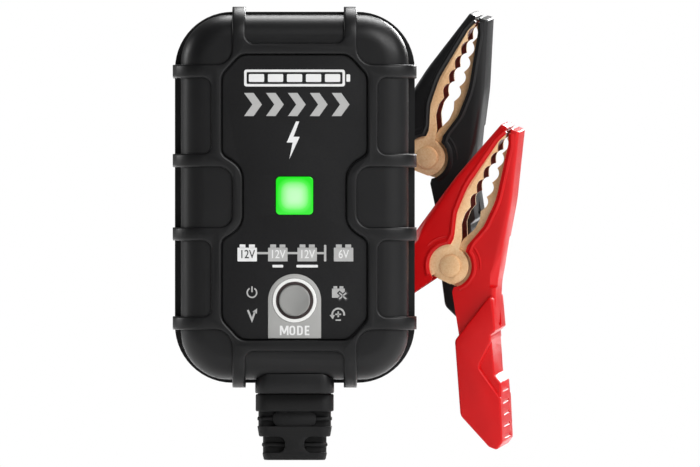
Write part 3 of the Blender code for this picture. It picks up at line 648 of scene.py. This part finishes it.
def rear_housing(skin):
    """Rear moulding: a tray with rib ends, screw wells, blade slots and a blank label pocket."""
    deep = REAR_FRONT - 3
    piece = housing_form(REAR_HALF, REAR_CORNER, REAR_EDGE, deep, 0, 0)
    rib = RIB_WIDTH / 2
    out_x, out_z = REAR_HALF[0] + REAR_PROUD, REAR_HALF[1] + REAR_PROUD
    ribs = [cube((-out_x, REAR_FRONT - 2, z - rib), (out_x, -3.0, z + rib)) for z in RIB_HEIGHTS]
    ribs += [cube((x - rib, REAR_FRONT - 1.9, -out_z), (x + rib, -3.2, out_z))
             for x in (-END_RIB_X, END_RIB_X)]
    for bar in ribs:
        piece = boolean(piece, "UNION", round_edges(bar, 0.4, 3, lambda e: True))
    wall = 2.2
    tray = (REAR_HALF[0] - wall, REAR_HALF[1] - wall)
    hollow = cube((-tray[0], REAR_FRONT - 9, -tray[1]), (tray[0], -wall, tray[1]))
    round_edges(hollow, REAR_CORNER - wall, CORNER_STEPS, along("Y"))
    ahead = cube((-50, REAR_FRONT - 20, -60), (50, REAR_FRONT, 60))
    piece = boolean(piece, "DIFFERENCE", hollow, ahead)
    for x in (-SCREW_AT[0], SCREW_AT[0]):
        for z in (-SCREW_AT[1], SCREW_AT[1]):
            well = cylinder((x, -0.5, z), 3.0, 15)
            shank = cylinder((x, -8, z), 1.8, 12)
            piece = boolean(piece, "UNION", cylinder((x, -6.5, z), 3.9, 11))
            piece = boolean(piece, "DIFFERENCE", well, shank)
    slots = [flat([outline(box_corners(1.0, 3.4, 0.3, x, BLADE_Z))], -5, 5) for x in (-BLADE_X, BLADE_X)]
    pocket = flat([outline(box_corners(LABEL_HALF[0] + 0.4, LABEL_HALF[1] + 0.4, 2.0, 0, LABEL_Z))], -0.35, 5)
    island = flat([outline(box_corners(12, 6.5, 1.5, 0, BLADE_Z))], -0.3, 5)
    piece = boolean(piece, "DIFFERENCE", *slots, pocket, island)
    round_edges(piece, 0.2, 2, convex(60, lambda place: abs(place.y) < 0.01), clamp=False)
    hand_over(piece, "rear_shell", skin, "charger", ["rear_housing"])


def label(skin):
    """A blank rating label of matt film in the pocket at the back."""
    piece = flat([outline(box_corners(*LABEL_HALF, 1.8, 0, LABEL_Z))], -0.4, -0.22)
    hand_over(piece, "blank_label", skin, "charger")


# ---------------------------------------------------------------- face
def arch_outline(half, bottom):
    """An arch about the button: a half circle over two straight sides."""
    return arc(half, 0, 180, 40, 0, BUTTON_Z) + [Vector((-half, bottom)), Vector((half, bottom))]


def face_plate(skin):
    """Face plate with its window hole and the bay of the badge, edges just broken."""
    piece = flat([face_outline()], PLATE_FRONT, PLATE_BACK)
    half = (WINDOW_HIGH - WINDOW_LOW) / 2
    hole = flat([outline(box_corners(half.x + 0.15, half.z + 0.15, 1.1, 0, WINDOW_MIDDLE.z))],
                PLATE_FRONT - 5, PLATE_BACK + 5)
    bay = flat([arch_outline(BADGE_HALF + 0.1, -40)], PLATE_FRONT - 5, PLATE_BACK + 5)
    round_edges(piece, 0.15, 2, at_depth(PLATE_FRONT))
    hand_over(boolean(piece, "DIFFERENCE", hole, bay), "face_foil_plate", skin, "charger",
              ["face_plate"])


def window(skin):
    """The lit lens, slightly crowned, with rounded corners."""
    piece = cube(WINDOW_LOW, WINDOW_HIGH)
    round_edges(piece, 1.0, 6, along("Y"))
    round_edges(piece, 0.18, 3, at_depth(WINDOW_LOW.y))
    hand_over(piece, "status_window", skin, "charger", ["light_window"])


def badge(skin):
    """Grey arch under the button, with a rounded front edge."""
    piece = flat([arch_outline(BADGE_HALF, 0.15 - PLATE_HALF[1])], PLATE_FRONT - 0.15, PLATE_BACK)
    round_edges(piece, 0.12, 2, at_depth(PLATE_FRONT - 0.15))
    piece = boolean(piece, "DIFFERENCE", cylinder((0, PLATE_FRONT, BUTTON_Z), 5.4, 6))
    hand_over(piece, "button_badge", skin, "charger", ["mode_badge"])


def turned_ring(inner, outer, front, back, soft):
    """A ring about the button with rounded front edges."""
    profile = [(inner, back), (inner, front + soft), (inner + soft, front), (outer - soft, front),
               (outer, front + soft), (outer, back), (inner, back)]
    piece = turned(profile, steps=96)
    piece.location.z = BUTTON_Z
    return settle(piece)


def button(ring_skin, seal_skin, cap_skin):
    """White ring, dark seal and the dished cap of the mode button."""
    ring = turned_ring(4.52, 5.34, PLATE_FRONT - 0.35, PLATE_BACK, 0.12)
    hand_over(ring, "white_button_ring", ring_skin, "charger", ["button_ring"])
    seal = turned_ring(3.86, 4.5, PLATE_FRONT - 0.1, PLATE_BACK, 0.08)
    hand_over(seal, "button_gaiter", seal_skin, "charger", ["button_seal"])
    front = BUTTON_LOW.y
    radius = BUTTON_RADIUS
    dish = [(radius * 0.86 * k / 8, front + 0.4 * (1 - (k / 8) ** 2)) for k in range(9)]
    rim = [(radius * 0.93, front - 0.02), (radius - 0.08, front + 0.12), (radius, front + 0.4)]
    tail = [(radius, front + 4.6), (4.8, front + 4.6), (4.8, front + 5.4), (0, front + 5.4)]
    cap = turned(dish + rim + tail, steps=96)
    cap.location.z = BUTTON_Z
    hand_over(settle(cap), "mode_button_cap", cap_skin, "mode_button",
              ["mode_button"])


def mark(loops, level=1):
    """A printed shape on the face, standing proud by its layer of ink."""
    return flat(loops, PLATE_FRONT - PRINT * level, PLATE_FRONT + 0.1)


def bar_mark(half_x, half_z, radius, x, z):
    """A printed bar about (x, z)."""
    return mark([outline(box_corners(half_x, half_z, radius, x, z))])


def sharp_mark(*points):
    """A printed shape with sharp corners."""
    return mark([[Vector(point) for point in points]])


def stroke(points, width):
    """The outline of a line of even width through points."""
    left, right = [], []
    for i, point in enumerate(points):
        here = Vector(point)
        ways = []
        if i > 0:
            ways.append((here - Vector(points[i - 1])).normalized())
        if i < len(points) - 1:
            ways.append((Vector(points[i + 1]) - here).normalized())
        way = sum(ways, Vector((0, 0))).normalized()
        side = Vector((-way.y, way.x)) * width / 2 / max(way.dot(ways[0]), 0.3)
        left.append(here + side)
        right.append(here - side)
    return left + right[::-1]


def words(text, x, z, height, level, stretch):
    """Plain generic lettering, centred on a point of the face."""
    thick = 0.06
    bpy.ops.object.select_all(action="DESELECT")
    bpy.ops.object.text_add()
    piece = bpy.context.object
    piece.data.body = text
    piece.data.align_x = "CENTER"
    piece.data.align_y = "CENTER"
    piece.data.size = height * 1.42
    piece.data.extrude = thick
    piece.data.offset = 0.012 * height
    only(piece)
    bpy.ops.object.convert(target="MESH")
    piece = bpy.context.object
    piece.scale = (stretch, 1, 1)
    piece.rotation_euler.x = pi / 2
    piece.location = (x, PLATE_FRONT - PRINT * level + thick, z)
    return tidy(settle(piece))


def battery_mark(x, z, width, height):
    """A battery pictogram: a block with two posts."""
    post = width * 0.3
    rise = height * 0.17
    top = z + height / 2 - rise
    corners = [box_corners(width / 2, (height - rise) / 2, 0.12, x, z - rise / 2)]
    for side in (-1, 1):
        middle = x + side * width * 0.24
        corners.append(box_corners(post / 2, rise / 2 + 0.1, 0.05, middle, top + rise / 2))
    return [mark([outline(block, 2)]) for block in corners]


def mode_word(z):
    """The button's word in plain condensed capitals, level with the badge's front."""
    front, back = PLATE_FRONT - 0.15 - PRINT, PLATE_FRONT
    half = 1.15
    low, high = z - half, z + half
    line = 0.38
    m = [(-3.55, low), (-3.55, high), (-3.0, high), (-2.5, z - 0.15), (-2.0, high), (-1.45, high),
         (-1.45, low), (-1.85, low), (-1.85, high - 0.9), (-2.35, z - 0.8), (-2.65, z - 0.8),
         (-3.15, high - 0.9), (-3.15, low)]
    o = [outline(box_corners(0.7, half, 0.62, -0.55, z)),
         outline(box_corners(0.3, half - 0.4, 0.26, -0.55, z))]
    d = [outline([(0.6, low, 0), (2.0, low, 0.7), (2.0, high, 0.7), (0.6, high, 0)]),
         outline([(1.02, low + line, 0), (1.58, low + line, 0.3), (1.58, high - line, 0.3),
                  (1.02, high - line, 0)])]
    e = [(3.6, low), (3.6, low + line), (2.9, low + line), (2.9, z - line / 2), (3.45, z - line / 2),
         (3.45, z + line / 2), (2.9, z + line / 2), (2.9, high - line), (3.6, high - line),
         (3.6, high), (2.48, high), (2.48, low)]
    sharp = [[[Vector(point) for point in letter]] for letter in (m, e)]
    return [flat(loops, front, back) for loops in (sharp[0], o, d, sharp[1])]


def face_marks(white, grey, dark):
    """Printed marks: charge graphics, bolt, battery choices, four status signs and the button's word."""
    pale, dim, deep = [], [], []
    # a long battery sign with charge cells
    cells_z = 28.8
    pale.append(mark([outline(box_corners(12.2, 2.05, 0.6, 0, cells_z)),
                      outline(box_corners(11.6, 1.45, 0.3, 0, cells_z))]))
    pale.append(bar_mark(0.45, 0.9, 0.2, 13.0, cells_z))
    for cell in range(5):
        pale.append(bar_mark(1.85, 0.95, 0.25, 4.6 * cell - 9.2, cells_z))
    # chevrons that flow to the right
    for step in range(5):
        x = 5.3 * step - 12.2
        dim.append(sharp_mark((x, 25.2), (x + 2.3, 25.2), (x + 4.3, 22.4), (x + 2.3, 19.6), (x, 19.6),
                              (x + 2.0, 22.4)))
    # a slim bolt
    pale.append(sharp_mark((0.35, 18.3), (-1.9, 13.2), (-0.45, 13.2), (-1.25, 9.2), (1.25, 14.6),
                           (-0.25, 14.6), (1.15, 18.3)))
    # four battery choices on a line, the first one brighter
    row = -13.55
    choices = ((-11.45, "12V", pale, deep), (-4.05, "12V", dim, pale), (3.05, "12V", dim, pale),
               (11.85, "6V", dim, pale))
    for x, _, block, _ in choices:
        block += battery_mark(x, row, 4.7, 4.0)
    for x, text, _, letters in choices:
        letters.append(words(text, x, row - 0.35, 2.0, 2, 0.82))
    for left, right in ((-9.1, -6.4), (-1.7, 0.7), (5.4, 7.2)):
        dim.append(bar_mark((right - left) / 2, 0.26, 0, (left + right) / 2, row))
    dim.append(bar_mark(0.28, 2.0, 0.2, 7.4, row))
    for x, half in ((-4.05, 1.3), (3.05, 2.6)):
        pale.append(bar_mark(half, 0.32, 0.2, x, -16.7))
    # standby sign: an open ring and a short upright line
    x, z = -10.3, -23.1
    dim.append(mark([stroke(arc(1.15, 120, 300, 24, x, z), 0.34)]))
    dim.append(mark([stroke([(x, z + 0.1), (x, z + 1.5)], 0.34)]))
    # voltage sign: a V that ends in an arrow
    x, z = -10.3, -28.4
    dim.append(mark([stroke([(x - 1.0, z + 1.1), (x, z - 1.35), (x + 0.7, z + 0.6)], 0.46)]))
    dim.append(sharp_mark((x + 0.15, z + 0.65), (x + 1.25, z + 1.5), (x + 1.2, z + 0.2)))
    # wrong battery sign: a battery with a cross over its corner
    dim += battery_mark(10.6, -23.0, 3.1, 2.7)
    x, z = 11.65, -23.9
    for shapes, reach, rise, width, level in ((deep, 1.1, 1.0, 0.95, 2), (dim, 0.85, 0.75, 0.36, 3)):
        for way in (-1, 1):
            shapes.append(mark([stroke([(x - reach, z - way * rise), (x + reach, z + way * rise)],
                                       width)], level))
    # repair sign: a turning arrow round a plus over a minus
    x, z = 10.56, -28.4
    dim.append(mark([stroke(arc(1.45, 190, -200, 24, x, z), 0.42)]))
    dim.append(sharp_mark((x - 2.1, z - 0.1), (x - 0.8, z - 0.1), (x - 1.3, z - 1.15)))
    for half_x, half_z, rise in ((0.7, 0.18, 0.05), (0.18, 0.7, 0.05), (0.65, 0.17, -1.35)):
        dim.append(bar_mark(half_x, half_z, 0, x, z + rise))
    pale += mode_word(-32.25)
    for shapes, name, skin, slot in ((pale, "white_print", white, "white_plastic"),
                                     (dim, "grey_print", grey, "grey_plastic"),
                                     (deep, "dark_print", dark, "face_plastic")):
        hand_over(join(shapes), name, skin, "charger")


# ---------------------------------------------------------------- cable exit and mains side
def collar(skin):
    """Collar under the body, cut to the housings' curve."""
    piece = cube(COLLAR_LOW, COLLAR_HIGH)
    round_edges(piece, 3.5, 8, along("Z"))
    form = shell_form(FIT, 0, REAR_FRONT + 1)
    rear = housing_form((REAR_HALF[0] + FIT, REAR_HALF[1] + FIT), REAR_CORNER, REAR_EDGE,
                        REAR_FRONT, FIT, FIT)
    piece = boolean(piece, "DIFFERENCE", form, rear, cylinder((0, CABLE_Y, -45), NECK_HOLE, 12, "Z"))
    round_edges(piece, 0.3, 2, convex(50), clamp=False)
    hand_over(piece, "cable_collar_shell", skin, "charger", ["cable_collar"])


def boot(skin):
    """Grooved strain relief: a tapered block cut by a ring groove and two side notches to a core."""
    half = (BOOT_HIGH.x - BOOT_LOW.x) / 2
    piece = cube((-half, CABLE_Y - half, BOOT_END), (half, CABLE_Y + half, BOOT_TOP))
    round_edges(piece, 3.0, 8, along("Z"))
    slices = 12
    taper_top = -51.5
    levels = [taper_top + (BOOT_END - taper_top) * k / slices for k in range(slices + 1)]
    for z in levels[:-1]:
        pick(piece, "FACE", lambda f: True)
        bpy.ops.mesh.bisect(plane_co=(0, 0, z), plane_no=(0, 0, 1))
        close_edit()
    for k, z in enumerate(levels[1:], 1):
        size = 1 - 0.21 * (k / slices) ** 1.4
        pick(piece, "VERT", lambda v, z=z: abs(v.co.z - z) < 0.01)
        bpy.ops.transform.resize(value=(size, size, 1), center_override=(0, CABLE_Y, z))
        close_edit()
    slots = [cube((-12, -32, GROOVE_Z - 1.8), (12, -4, GROOVE_Z + 1.8))]
    low, high = -61.9, -58.0
    for sx in (-1, 1):
        slots.append(flat([outline([(sx * 2.3, low, 1.8), (sx * 2.3, high, 1.8),
                                    (sx * 12, high, 0), (sx * 12, low, 0)])], -32, -4))
    for slot, (wide, deep) in zip(slots, ((8.8, 6.4), (7.7, 5.6), (7.7, 5.6))):
        core = cube((-wide, CABLE_Y - deep, -65), (wide, CABLE_Y + deep, -48))
        round_edges(core, 1.6, 6, along("Z"))
        piece = boolean(piece, "DIFFERENCE", boolean(slot, "DIFFERENCE", core))
    pads = [flat([outline(box_corners(5.2, 2.0, 1.7, 0, GROOVE_Z))], CABLE_Y - 8.0, CABLE_Y + 8.0)]
    seat = cube((-8.9, CABLE_Y - 8.9, BOOT_TOP - 1), (8.9, CABLE_Y + 8.9, COLLAR_LOW.z))
    pads.append(round_edges(seat, 2.6, 6, along("Z")))
    for z, wide, deep in ((GROOVE_Z, 9.05, 7.3), (-60.0, 7.95, 6.4)):
        ridge = cube((-wide, CABLE_Y - deep, z - 0.45), (wide, CABLE_Y + deep, z + 0.45))
        round_edges(ridge, 1.6, 6, along("Z"))
        pads.append(ridge)
    piece = boolean(piece, "UNION", *pads)
    bore = cylinder((0, CABLE_Y, -52), 3.1, 40, "Z")
    neck = cylinder((0, CABLE_Y, -44.9), 4.3, 7.8, "Z")
    flange = cylinder((0, CABLE_Y, -41.5), 5.4, 1.0, "Z")
    piece = boolean(boolean(piece, "UNION", neck, flange), "DIFFERENCE", bore)
    round_edges(piece, 0.3, 2, convex(50, lambda place: place.z < BOOT_TOP + 0.1), clamp=False)
    hand_over(piece, "strain_relief", skin, "charger", ["cable_boot"])


def blades(skin):
    """The flat mains blades, with the usual hole near the tip and bevelled ends."""
    for side in ("left", "right"):
        low, high = node_box("mains_blade_" + side)
        piece = cube(low, high)
        round_edges(piece, 0.55, 3, lambda e, y=high.y: all(abs(v.co.y - y) < 0.01 for v in e.verts))
        hole = cylinder(((low.x + high.x) / 2, high.y - 4.0, BLADE_Z), 1.6, 6, "X", 40)
        piece = boolean(piece, "DIFFERENCE", hole)
        hand_over(piece, "contact_blade_" + side, skin, "charger",
                  ["mains_blade_" + side])


# ---------------------------------------------------------------- clamps
def clamp_place(colour):
    """Where a clamp stands: from its own drawing, rivet at the origin, to the charger's frame."""
    joint = next(j for j in frame["joints"] if j["name"] == colour + "_jaw_open")
    depth = -Vector(joint["axis"])
    rivet = Vector(joint["pos_m"]) / MM
    return (Matrix.Translation(rivet) @ Matrix.Rotation(-atan2(depth.x, depth.y), 4, "Z")
            @ Matrix.Rotation(asin(depth.z), 4, "X") @ Matrix.Rotation(LEAN[colour], 4, "Y"))


def inner_edge():
    """The plastic's edge along the bare metal of the right jaw, from the waist to the tip."""
    return [(1.9, 6.4, 0.6), (3.7, 12.5, 6), (3.9, 19.5, 20), (1.3, 33.0, 4)]


def outer_x(z):
    """How far out the right jaw cover reaches at a height."""
    steps = [(37.1, 2.4), (20.5, 7.6), (0.3, 12.2), (-8.5, 15.9)]
    for (high, x_high), (low, x_low) in zip(steps, steps[1:]):
        if z >= low:
            return x_high + (x_low - x_high) * (high - z) / (high - low)
    return 100.0


def lips():
    """Raised beads on both faces: along the metal's edge, round the lug, and a short ridge."""
    edge = outline([(0.9, 36.0, 0), *((x + 0.85, z, r) for x, z, r in reversed(inner_edge()[1:])),
                    (2.9, 7.3, 0)], 8)
    bead_path = edge + arc(6.0, 60, -105, 16)
    ridge = arc(7.5, 64, -46, 8)
    beads = []
    for side in (-1, 1):
        for path, radius, rise in ((bead_path, 0.8, 0.3), (ridge, 0.5, 0.12)):
            y = side * (JAW_DEPTH - radius + rise)
            beads.append(wire([(p.x, y, p.y) for p in path], radius))
    return beads


def plastic_half(role):
    """Right plastic half: thin jaw cover with raised lips, deep ribbed grip, hollow inside."""
    jaw = [(0.5, 36.9, 0.2), (2.4, 37.1, 0.5), (7.6, 20.5, 40), (12.2, 0.3, 20),
           (15.9, -8.5, 0), (9.0, -15.0, 0), (3.0, -5.6, 1.0)]
    grip = [(12.3, -1.2, 0.8), (16.9, -9.6, 0.6), (16.2, -11.0, 0.5), (20.9, -19.8, 0.6),
            (23.0, -20.9, 1), (29.4, -33.8, 0.8), (28.9, -36.2, 0.9), (26.7, -36.3, 1.2),
            (17.2, -32.2, 2.5), (8.6, -15.9, 2)]
    cover = flat([outline(jaw + inner_edge(), 8)], -JAW_DEPTH, JAW_DEPTH)
    round_edges(cover, 1.0, 3, lambda e: (
        at_depth(-JAW_DEPTH, JAW_DEPTH)(e)
        and all(v.co.x > outer_x(v.co.z) - 0.4 for v in e.verts)), clamp=False)
    # an extra flat along the outer edge beside the rivet, fading out towards the tip
    for face in (-1, 1):
        wedge = cube((-1.5, -1.5, -6.4), (1.5, 1.5, 6.4))
        wedge.rotation_euler = (0, -radians(16), pi / 4)
        wedge.rotation_mode = "XYZ"
        wedge.location = (11.3, face * 5.25, 5.8)
        cover = boolean(cover, "DIFFERENCE", settle(wedge))
    handle = flat([outline(grip, 6)], -GRIP_DEPTH, GRIP_DEPTH)
    notch = [(16.6, -19.5, 1.5), (25.6, -24.7, 0), (32, -16, 0), (17.0, -10.4, 0)]
    floor = GRIP_DEPTH - 1.2
    for face in (-1, 1):
        near, far = sorted((face * (GRIP_DEPTH + 1), face * floor))
        handle = boolean(handle, "DIFFERENCE", flat([outline(notch, 8)], near, far))
    round_edges(handle, 0.9, 4, lambda e: (
        e.is_convex and at_depth(-GRIP_DEPTH, GRIP_DEPTH, -floor, floor)(e)))
    # thumb grooves across the outer side of the lower block, and a slot in the upper one
    start, end = Vector((23.9, -22.6)), Vector((28.9, -32.8))
    for k in range(5):
        spot = start.lerp(end, k / 4)
        groove = cylinder((spot.x + 0.35, 0, spot.y), 0.5, 7.0, "Y", 20)
        handle = boolean(handle, "DIFFERENCE", groove)
    slot = cube((-0.5, -1.6, -3.2), (0.9, 1.6, 3.2))
    round_edges(slot, 1.2, 4, along("X"))
    slot.rotation_euler.y = -atan2(4.5, 9.8)
    slot.location = (15.0, 0, -6.2)
    handle = boolean(handle, "DIFFERENCE", settle(slot))
    piece = boolean(cover, "UNION", *lips(), handle)
    inside = METAL_DEPTH[role] + 0.15
    cavity = [(-3, 35.4, 0), (1.4, 35.4, 0.5), (6.2, 20.5, 0), (10.8, 1.0, 0), (14.0, -6.5, 0),
              (13.0, -18.0, 0), (8.0, -20.0, 0), (-3, -6, 0)]
    hollow = [(14.0, -4.6, 0), (19.0, -21.6, 0.5), (21.8, -23.8, 0.5), (28.4, -34.4, 0.5),
              (26.9, -35.3, 0.5), (14.0, -31.0, 0), (7.6, -19.6, 0), (10.5, -17.0, 0)]
    return boolean(piece, "DIFFERENCE", flat([outline(cavity)], -inside, inside),
                   flat([outline(hollow)], 1.6 - GRIP_DEPTH, GRIP_DEPTH - 1.6),
                   cylinder((0, 0, 0), LUG_RADIUS["fixed"] + 0.2, 30))


def tooth_line(z):
    """Where the tooth tips lie, from nearly touching at the mouth to apart at the throat."""
    share = (TEETH_TOP - z) / (TEETH * TOOTH_PITCH)
    return 0.15 + 1.15 * sin(share * pi / 2)


def toothed_edge():
    """Corners of the right jaw's bitten edge, from the tip down: arcs that meet in hooked teeth."""
    corners = []
    steps = 8
    for tooth in range(TEETH):
        top = TEETH_TOP - tooth * TOOTH_PITCH
        for step in range(steps):
            share = step / steps
            z = top - share * TOOTH_PITCH
            deep = sin(pi * share ** 0.8)
            corners.append((tooth_line(z) + TOOTH_DEPTH * deep, z, 0))
    last = TEETH_TOP - TEETH * TOOTH_PITCH
    return corners + [(tooth_line(last), last, 0)]


def metal_jaw(role):
    """Right sheet metal jaw: a U section with a toothed edge, two lugs and a tang."""
    depth = METAL_DEPTH[role]
    throat = [(1.9, 13.2, 1.2), (1.7, 10.5, 3), (0.2, 7.3, 0), (-0.8, 2.0, 0)]
    tang = [(3.0, -3.6, 0), (9.9, -16.2, 0.4), (12.0, -15.2, 0.4), (6.6, -2.0, 3)]
    back = [(5.8, 8.0, 20), (5.1, 19.0, 20), (2.9, 28.0, 20), (1.2, 35.0, 0.3)]
    edge = outline([(0.2, 35.0, 0), *toothed_edge(), *throat, *tang, *back], 5)
    lug = cylinder((0, 0, 0), LUG_RADIUS[role], 2 * depth)
    piece = boolean(flat([edge], -depth, depth), "UNION", lug)
    below = cube((-8, -10, -12), (2.9, 10, LUG_FLAT_Z))
    piece = boolean(piece, "DIFFERENCE", below)
    inner = [(-9, 36, 0), (0.6, 36, 0), (2.1, 28.0, 0), (4.3, 19.0, 0), (5.0, 8.0, 0),
             (4.9, 5.6, 0), (6.6, 3.0, 0), (7.0, -1.0, 0), (5.4, -4.0, 0), (11.2, -14.8, 0),
             (9, -20, 0), (-9, -9, 0)]
    inside = flat([outline(inner)], METAL - depth, depth - METAL)
    piece = boolean(piece, "DIFFERENCE", inside, cylinder((0, 0, 0), 1.8, 20))
    round_edges(tidy(piece), 0.14, 2, at_depth(-depth, depth), clamp=False)
    # faces inside the U get the second material: copper painted darker as the shade between the walls
    for face in piece.data.polygons:
        if abs(face.center.y) < depth - METAL + 0.03 and abs(face.center.x) < 15:
            face.material_index = 1
    return piece


def rivet():
    """A turned rivet with a flat head inside a thin rolled ring."""
    end = METAL_DEPTH["moving"] + 0.1
    head = [(0, 0.4), (2.3, 0.4), (2.42, 0.36), (2.46, 0.26), (2.52, 0.26), (2.58, 0.3),
            (RIVET_HEAD, 0.16), (RIVET_HEAD, 0)]
    front = [(r, end + h) for r, h in head]
    return turned(front + [(1.6, end), (1.6, -end)] + [(r, -h) for r, h in reversed(front)], steps=72)


def spring(colour, place, skin):
    """Torsion spring round the rivet, with a leg reaching into each half; it is handed over to no body."""
    half_length = 1.45
    coil, gauge = 2.9, 0.45
    start = radians(10)
    sweep = 5 * pi - 2 * start
    count = 90
    route = [Vector((9.3, half_length, -15.2)), Vector((5.6, half_length, -8.0))]
    for k in range(count + 1):
        share = k / count
        angle = start + sweep * share
        route.append(Vector((coil * cos(angle), half_length * (1 - 2 * share), coil * sin(angle))))
    route += [Vector((-5.6, -half_length, -8.0)), Vector((-9.3, -half_length, -15.2))]
    name = colour + "_clamp_"
    piece = hand_over(wire(route, gauge), name + "torsion_spring", skin, None,
                      [name + "spring"], place)
    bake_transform(piece)


def clamp(colour, plastic, metal, inner, steel):
    """One clamp: two plastic halves, two toothed jaws, a rivet and a spring."""
    place = clamp_place(colour)
    name = colour + "_clamp_"
    parts = {"fixed": (colour + "_clamp", "right"), "moving": (colour + "_moving_half", "left")}
    for role, (body, side) in parts.items():
        shell, jaw = plastic_half(role), metal_jaw(role)
        if role == "moving":
            shell, jaw = mirrored(shell), mirrored(jaw)
        hand_over(shell, name + side + "_grip", plastic, body,
                  [name + role + "_handle"], place)
        hand_over(jaw, name + side + "_teeth", [metal, inner], body,
                  [name + role + "_jaw"], place)
    hand_over(rivet(), name + "pivot_rivet", metal, colour + "_clamp",
              [name + "rivet"], place)
    spring(colour, place, steel)


# ---------------------------------------------------------------- inside parts and the set
def paint_inside(skins):
    """Gives each carried-over node inside the housings its real material."""
    for name, skin in skins.items():
        for node in [n for n in frame["nodes"] if n.startswith(name)]:
            data = frame["nodes"][node].data
            data.materials.clear()
            data.materials.append(skin)


def area_light(name, place, aim, size, power):
    """A square soft box aimed at a point, all in metres."""
    lamp = bpy.data.lights.new(name, "AREA")
    lamp.size = size
    lamp.energy = power
    holder = bpy.data.objects.new(name, lamp)
    bpy.context.scene.collection.objects.link(holder)
    holder.visible_camera = False
    holder.location = place
    holder.rotation_euler = (Vector(aim) - Vector(place)).to_track_quat("-Z", "Y").to_euler()


def set_stage():
    """Pale floor, white surround, soft boxes and the camera."""
    scene = bpy.context.scene
    scene.view_settings.view_transform = "Standard"
    bpy.ops.object.select_all(action="DESELECT")
    bpy.ops.mesh.primitive_plane_add(size=3, location=(0, 0, -0.1))
    floor = bpy.context.object
    floor.name = "floor"
    floor.data.materials.append(moulded("pale_floor", "#e8e8e8", "#ececec", 0.7, 3.0, 0.01))
    world = bpy.data.worlds.new("studio")
    world.use_nodes = True
    scene.world = world
    tree = world.node_tree
    back = tree.nodes["Background"]
    back.inputs["Color"].default_value = (1, 1, 1, 1)
    seen = add(tree, "LightPath").outputs["Is Camera Ray"]
    level = add(tree, "MapRange", {"Value": seen}, To_Min=0.09, To_Max=1.0)
    tree.links.new(level.outputs["Result"], back.inputs["Strength"])
    middle = (0.013, 0, -0.009)
    area_light("key", (1.15, -0.6, 0.7), middle, 0.6, 9)
    area_light("front", (0.75, -1.2, 0.95), middle, 0.7, 17)
    area_light("rim_right", (0.5, 1.15, 0.42), middle, 0.45, 12)
    area_light("rim_left", (-1.1, 0.35, 0.3), middle, 0.35, 4)
    area_light("rim_top", (0.2, 0.6, 1.0), middle, 0.7, 18)
    lens = bpy.data.cameras.new("front_camera")
    holder = bpy.data.objects.new("front_camera", lens)
    scene.collection.objects.link(holder)
    distance = 4.0
    frame_width = 0.17066
    lens.sensor_width = 36
    lens.lens = lens.sensor_width * distance / frame_width
    lens.clip_end = 50
    holder.location = (0.013409, -distance, -0.008801)
    holder.rotation_euler = (pi / 2, 0, 0)
    scene.camera = holder


abs_skin = housing_abs()
front_housing(abs_skin)
rear_housing(rear_abs())
face_plate(face_foil())
window(lit_lens(WINDOW_LOW, WINDOW_HIGH))
grey = moulded("badge_grey_abs", "#999997", "#a0a09e", 0.5, 0.4, 0.008)
badge(grey)
button(moulded("ring_white_abs", "#e2e2e0", "#e8e8e6", 0.45, 0.5, 0.006), seal_silicone(),
       moulded("button_grey_abs", "#81817f", "#8a8a88", 0.38, 0.5, 0.008))
face_marks(ink("white_ink", "#dcdcdc"), ink("grey_ink", "#a9a9a8"), ink("dark_ink", "#2a2a2b"))
label(moulded("label_film", "#8f8f8f", "#969696", 0.5, 0.6, 0.005))
collar(abs_skin)
boot(boot_elastomer())
blades(bright_metal("nickel_plated_brass", "#d9d2c2", 0.28, 0.6))
# the second copper has the shade inside the jaws painted into its colour
copper, shade_copper_skin = copper_plate(), copper_in_painted_shade()
steel = bright_metal("spring_steel_wire", "#a8a8a6", 0.35, 0.5)
for hue in ("red", "black"):
    clamp(hue, clamp_plastic(hue), copper, shade_copper_skin, steel)
epoxy = moulded("moulded_epoxy", "#1d1d1e", "#242425", 0.5, 0.4, 0.01)
paint_inside({
    "housing_gasket": boot_elastomer(),
    "light_guide": moulded("clear_acrylic", "#c8d0cc", "#d4dcd8", 0.15, 0.8, 0.004),
    "main_board": board_laminate(),
    "charge_led": moulded("led_resin", "#e6e6e2", "#efefec", 0.3, 0.5, 0.004),
    "mode_switch": epoxy, "microcontroller": epoxy, "bridge_rectifier": epoxy,
    "power_transistor": epoxy, "blade_carrier": epoxy,
    "board_screw": bright_metal("zinc_plated_screw", "#b9bcc0", 0.35, 0.4),
    "housing_screw": bright_metal("blackened_screw", "#4b4c4f", 0.4, 0.4),
    "transformer_core": moulded("sintered_ferrite", "#3a3a3c", "#46464a", 0.75, 0.5, 0.03),
    "transformer_coil": moulded("polyester_tape", "#c79a1c", "#d8ab2a", 0.45, 0.8, 0.01),
    "input_capacitor": moulded("capacitor_sleeve", "#161a3a", "#1c2148", 0.35, 0.8, 0.005),
    "output_capacitor": moulded("capacitor_sleeve_small", "#161a3a", "#1c2148", 0.35, 0.8, 0.005),
    "filter_choke": bright_metal("enamelled_copper", "#a8542a", 0.35, 0.5),
    "fuse": bright_metal("nickel_cap", "#c9c9c4", 0.3, 0.4),
    "heat_sink": bright_metal("extruded_aluminium", "#c2c4c6", 0.4, 0.5),
})
set_stage()
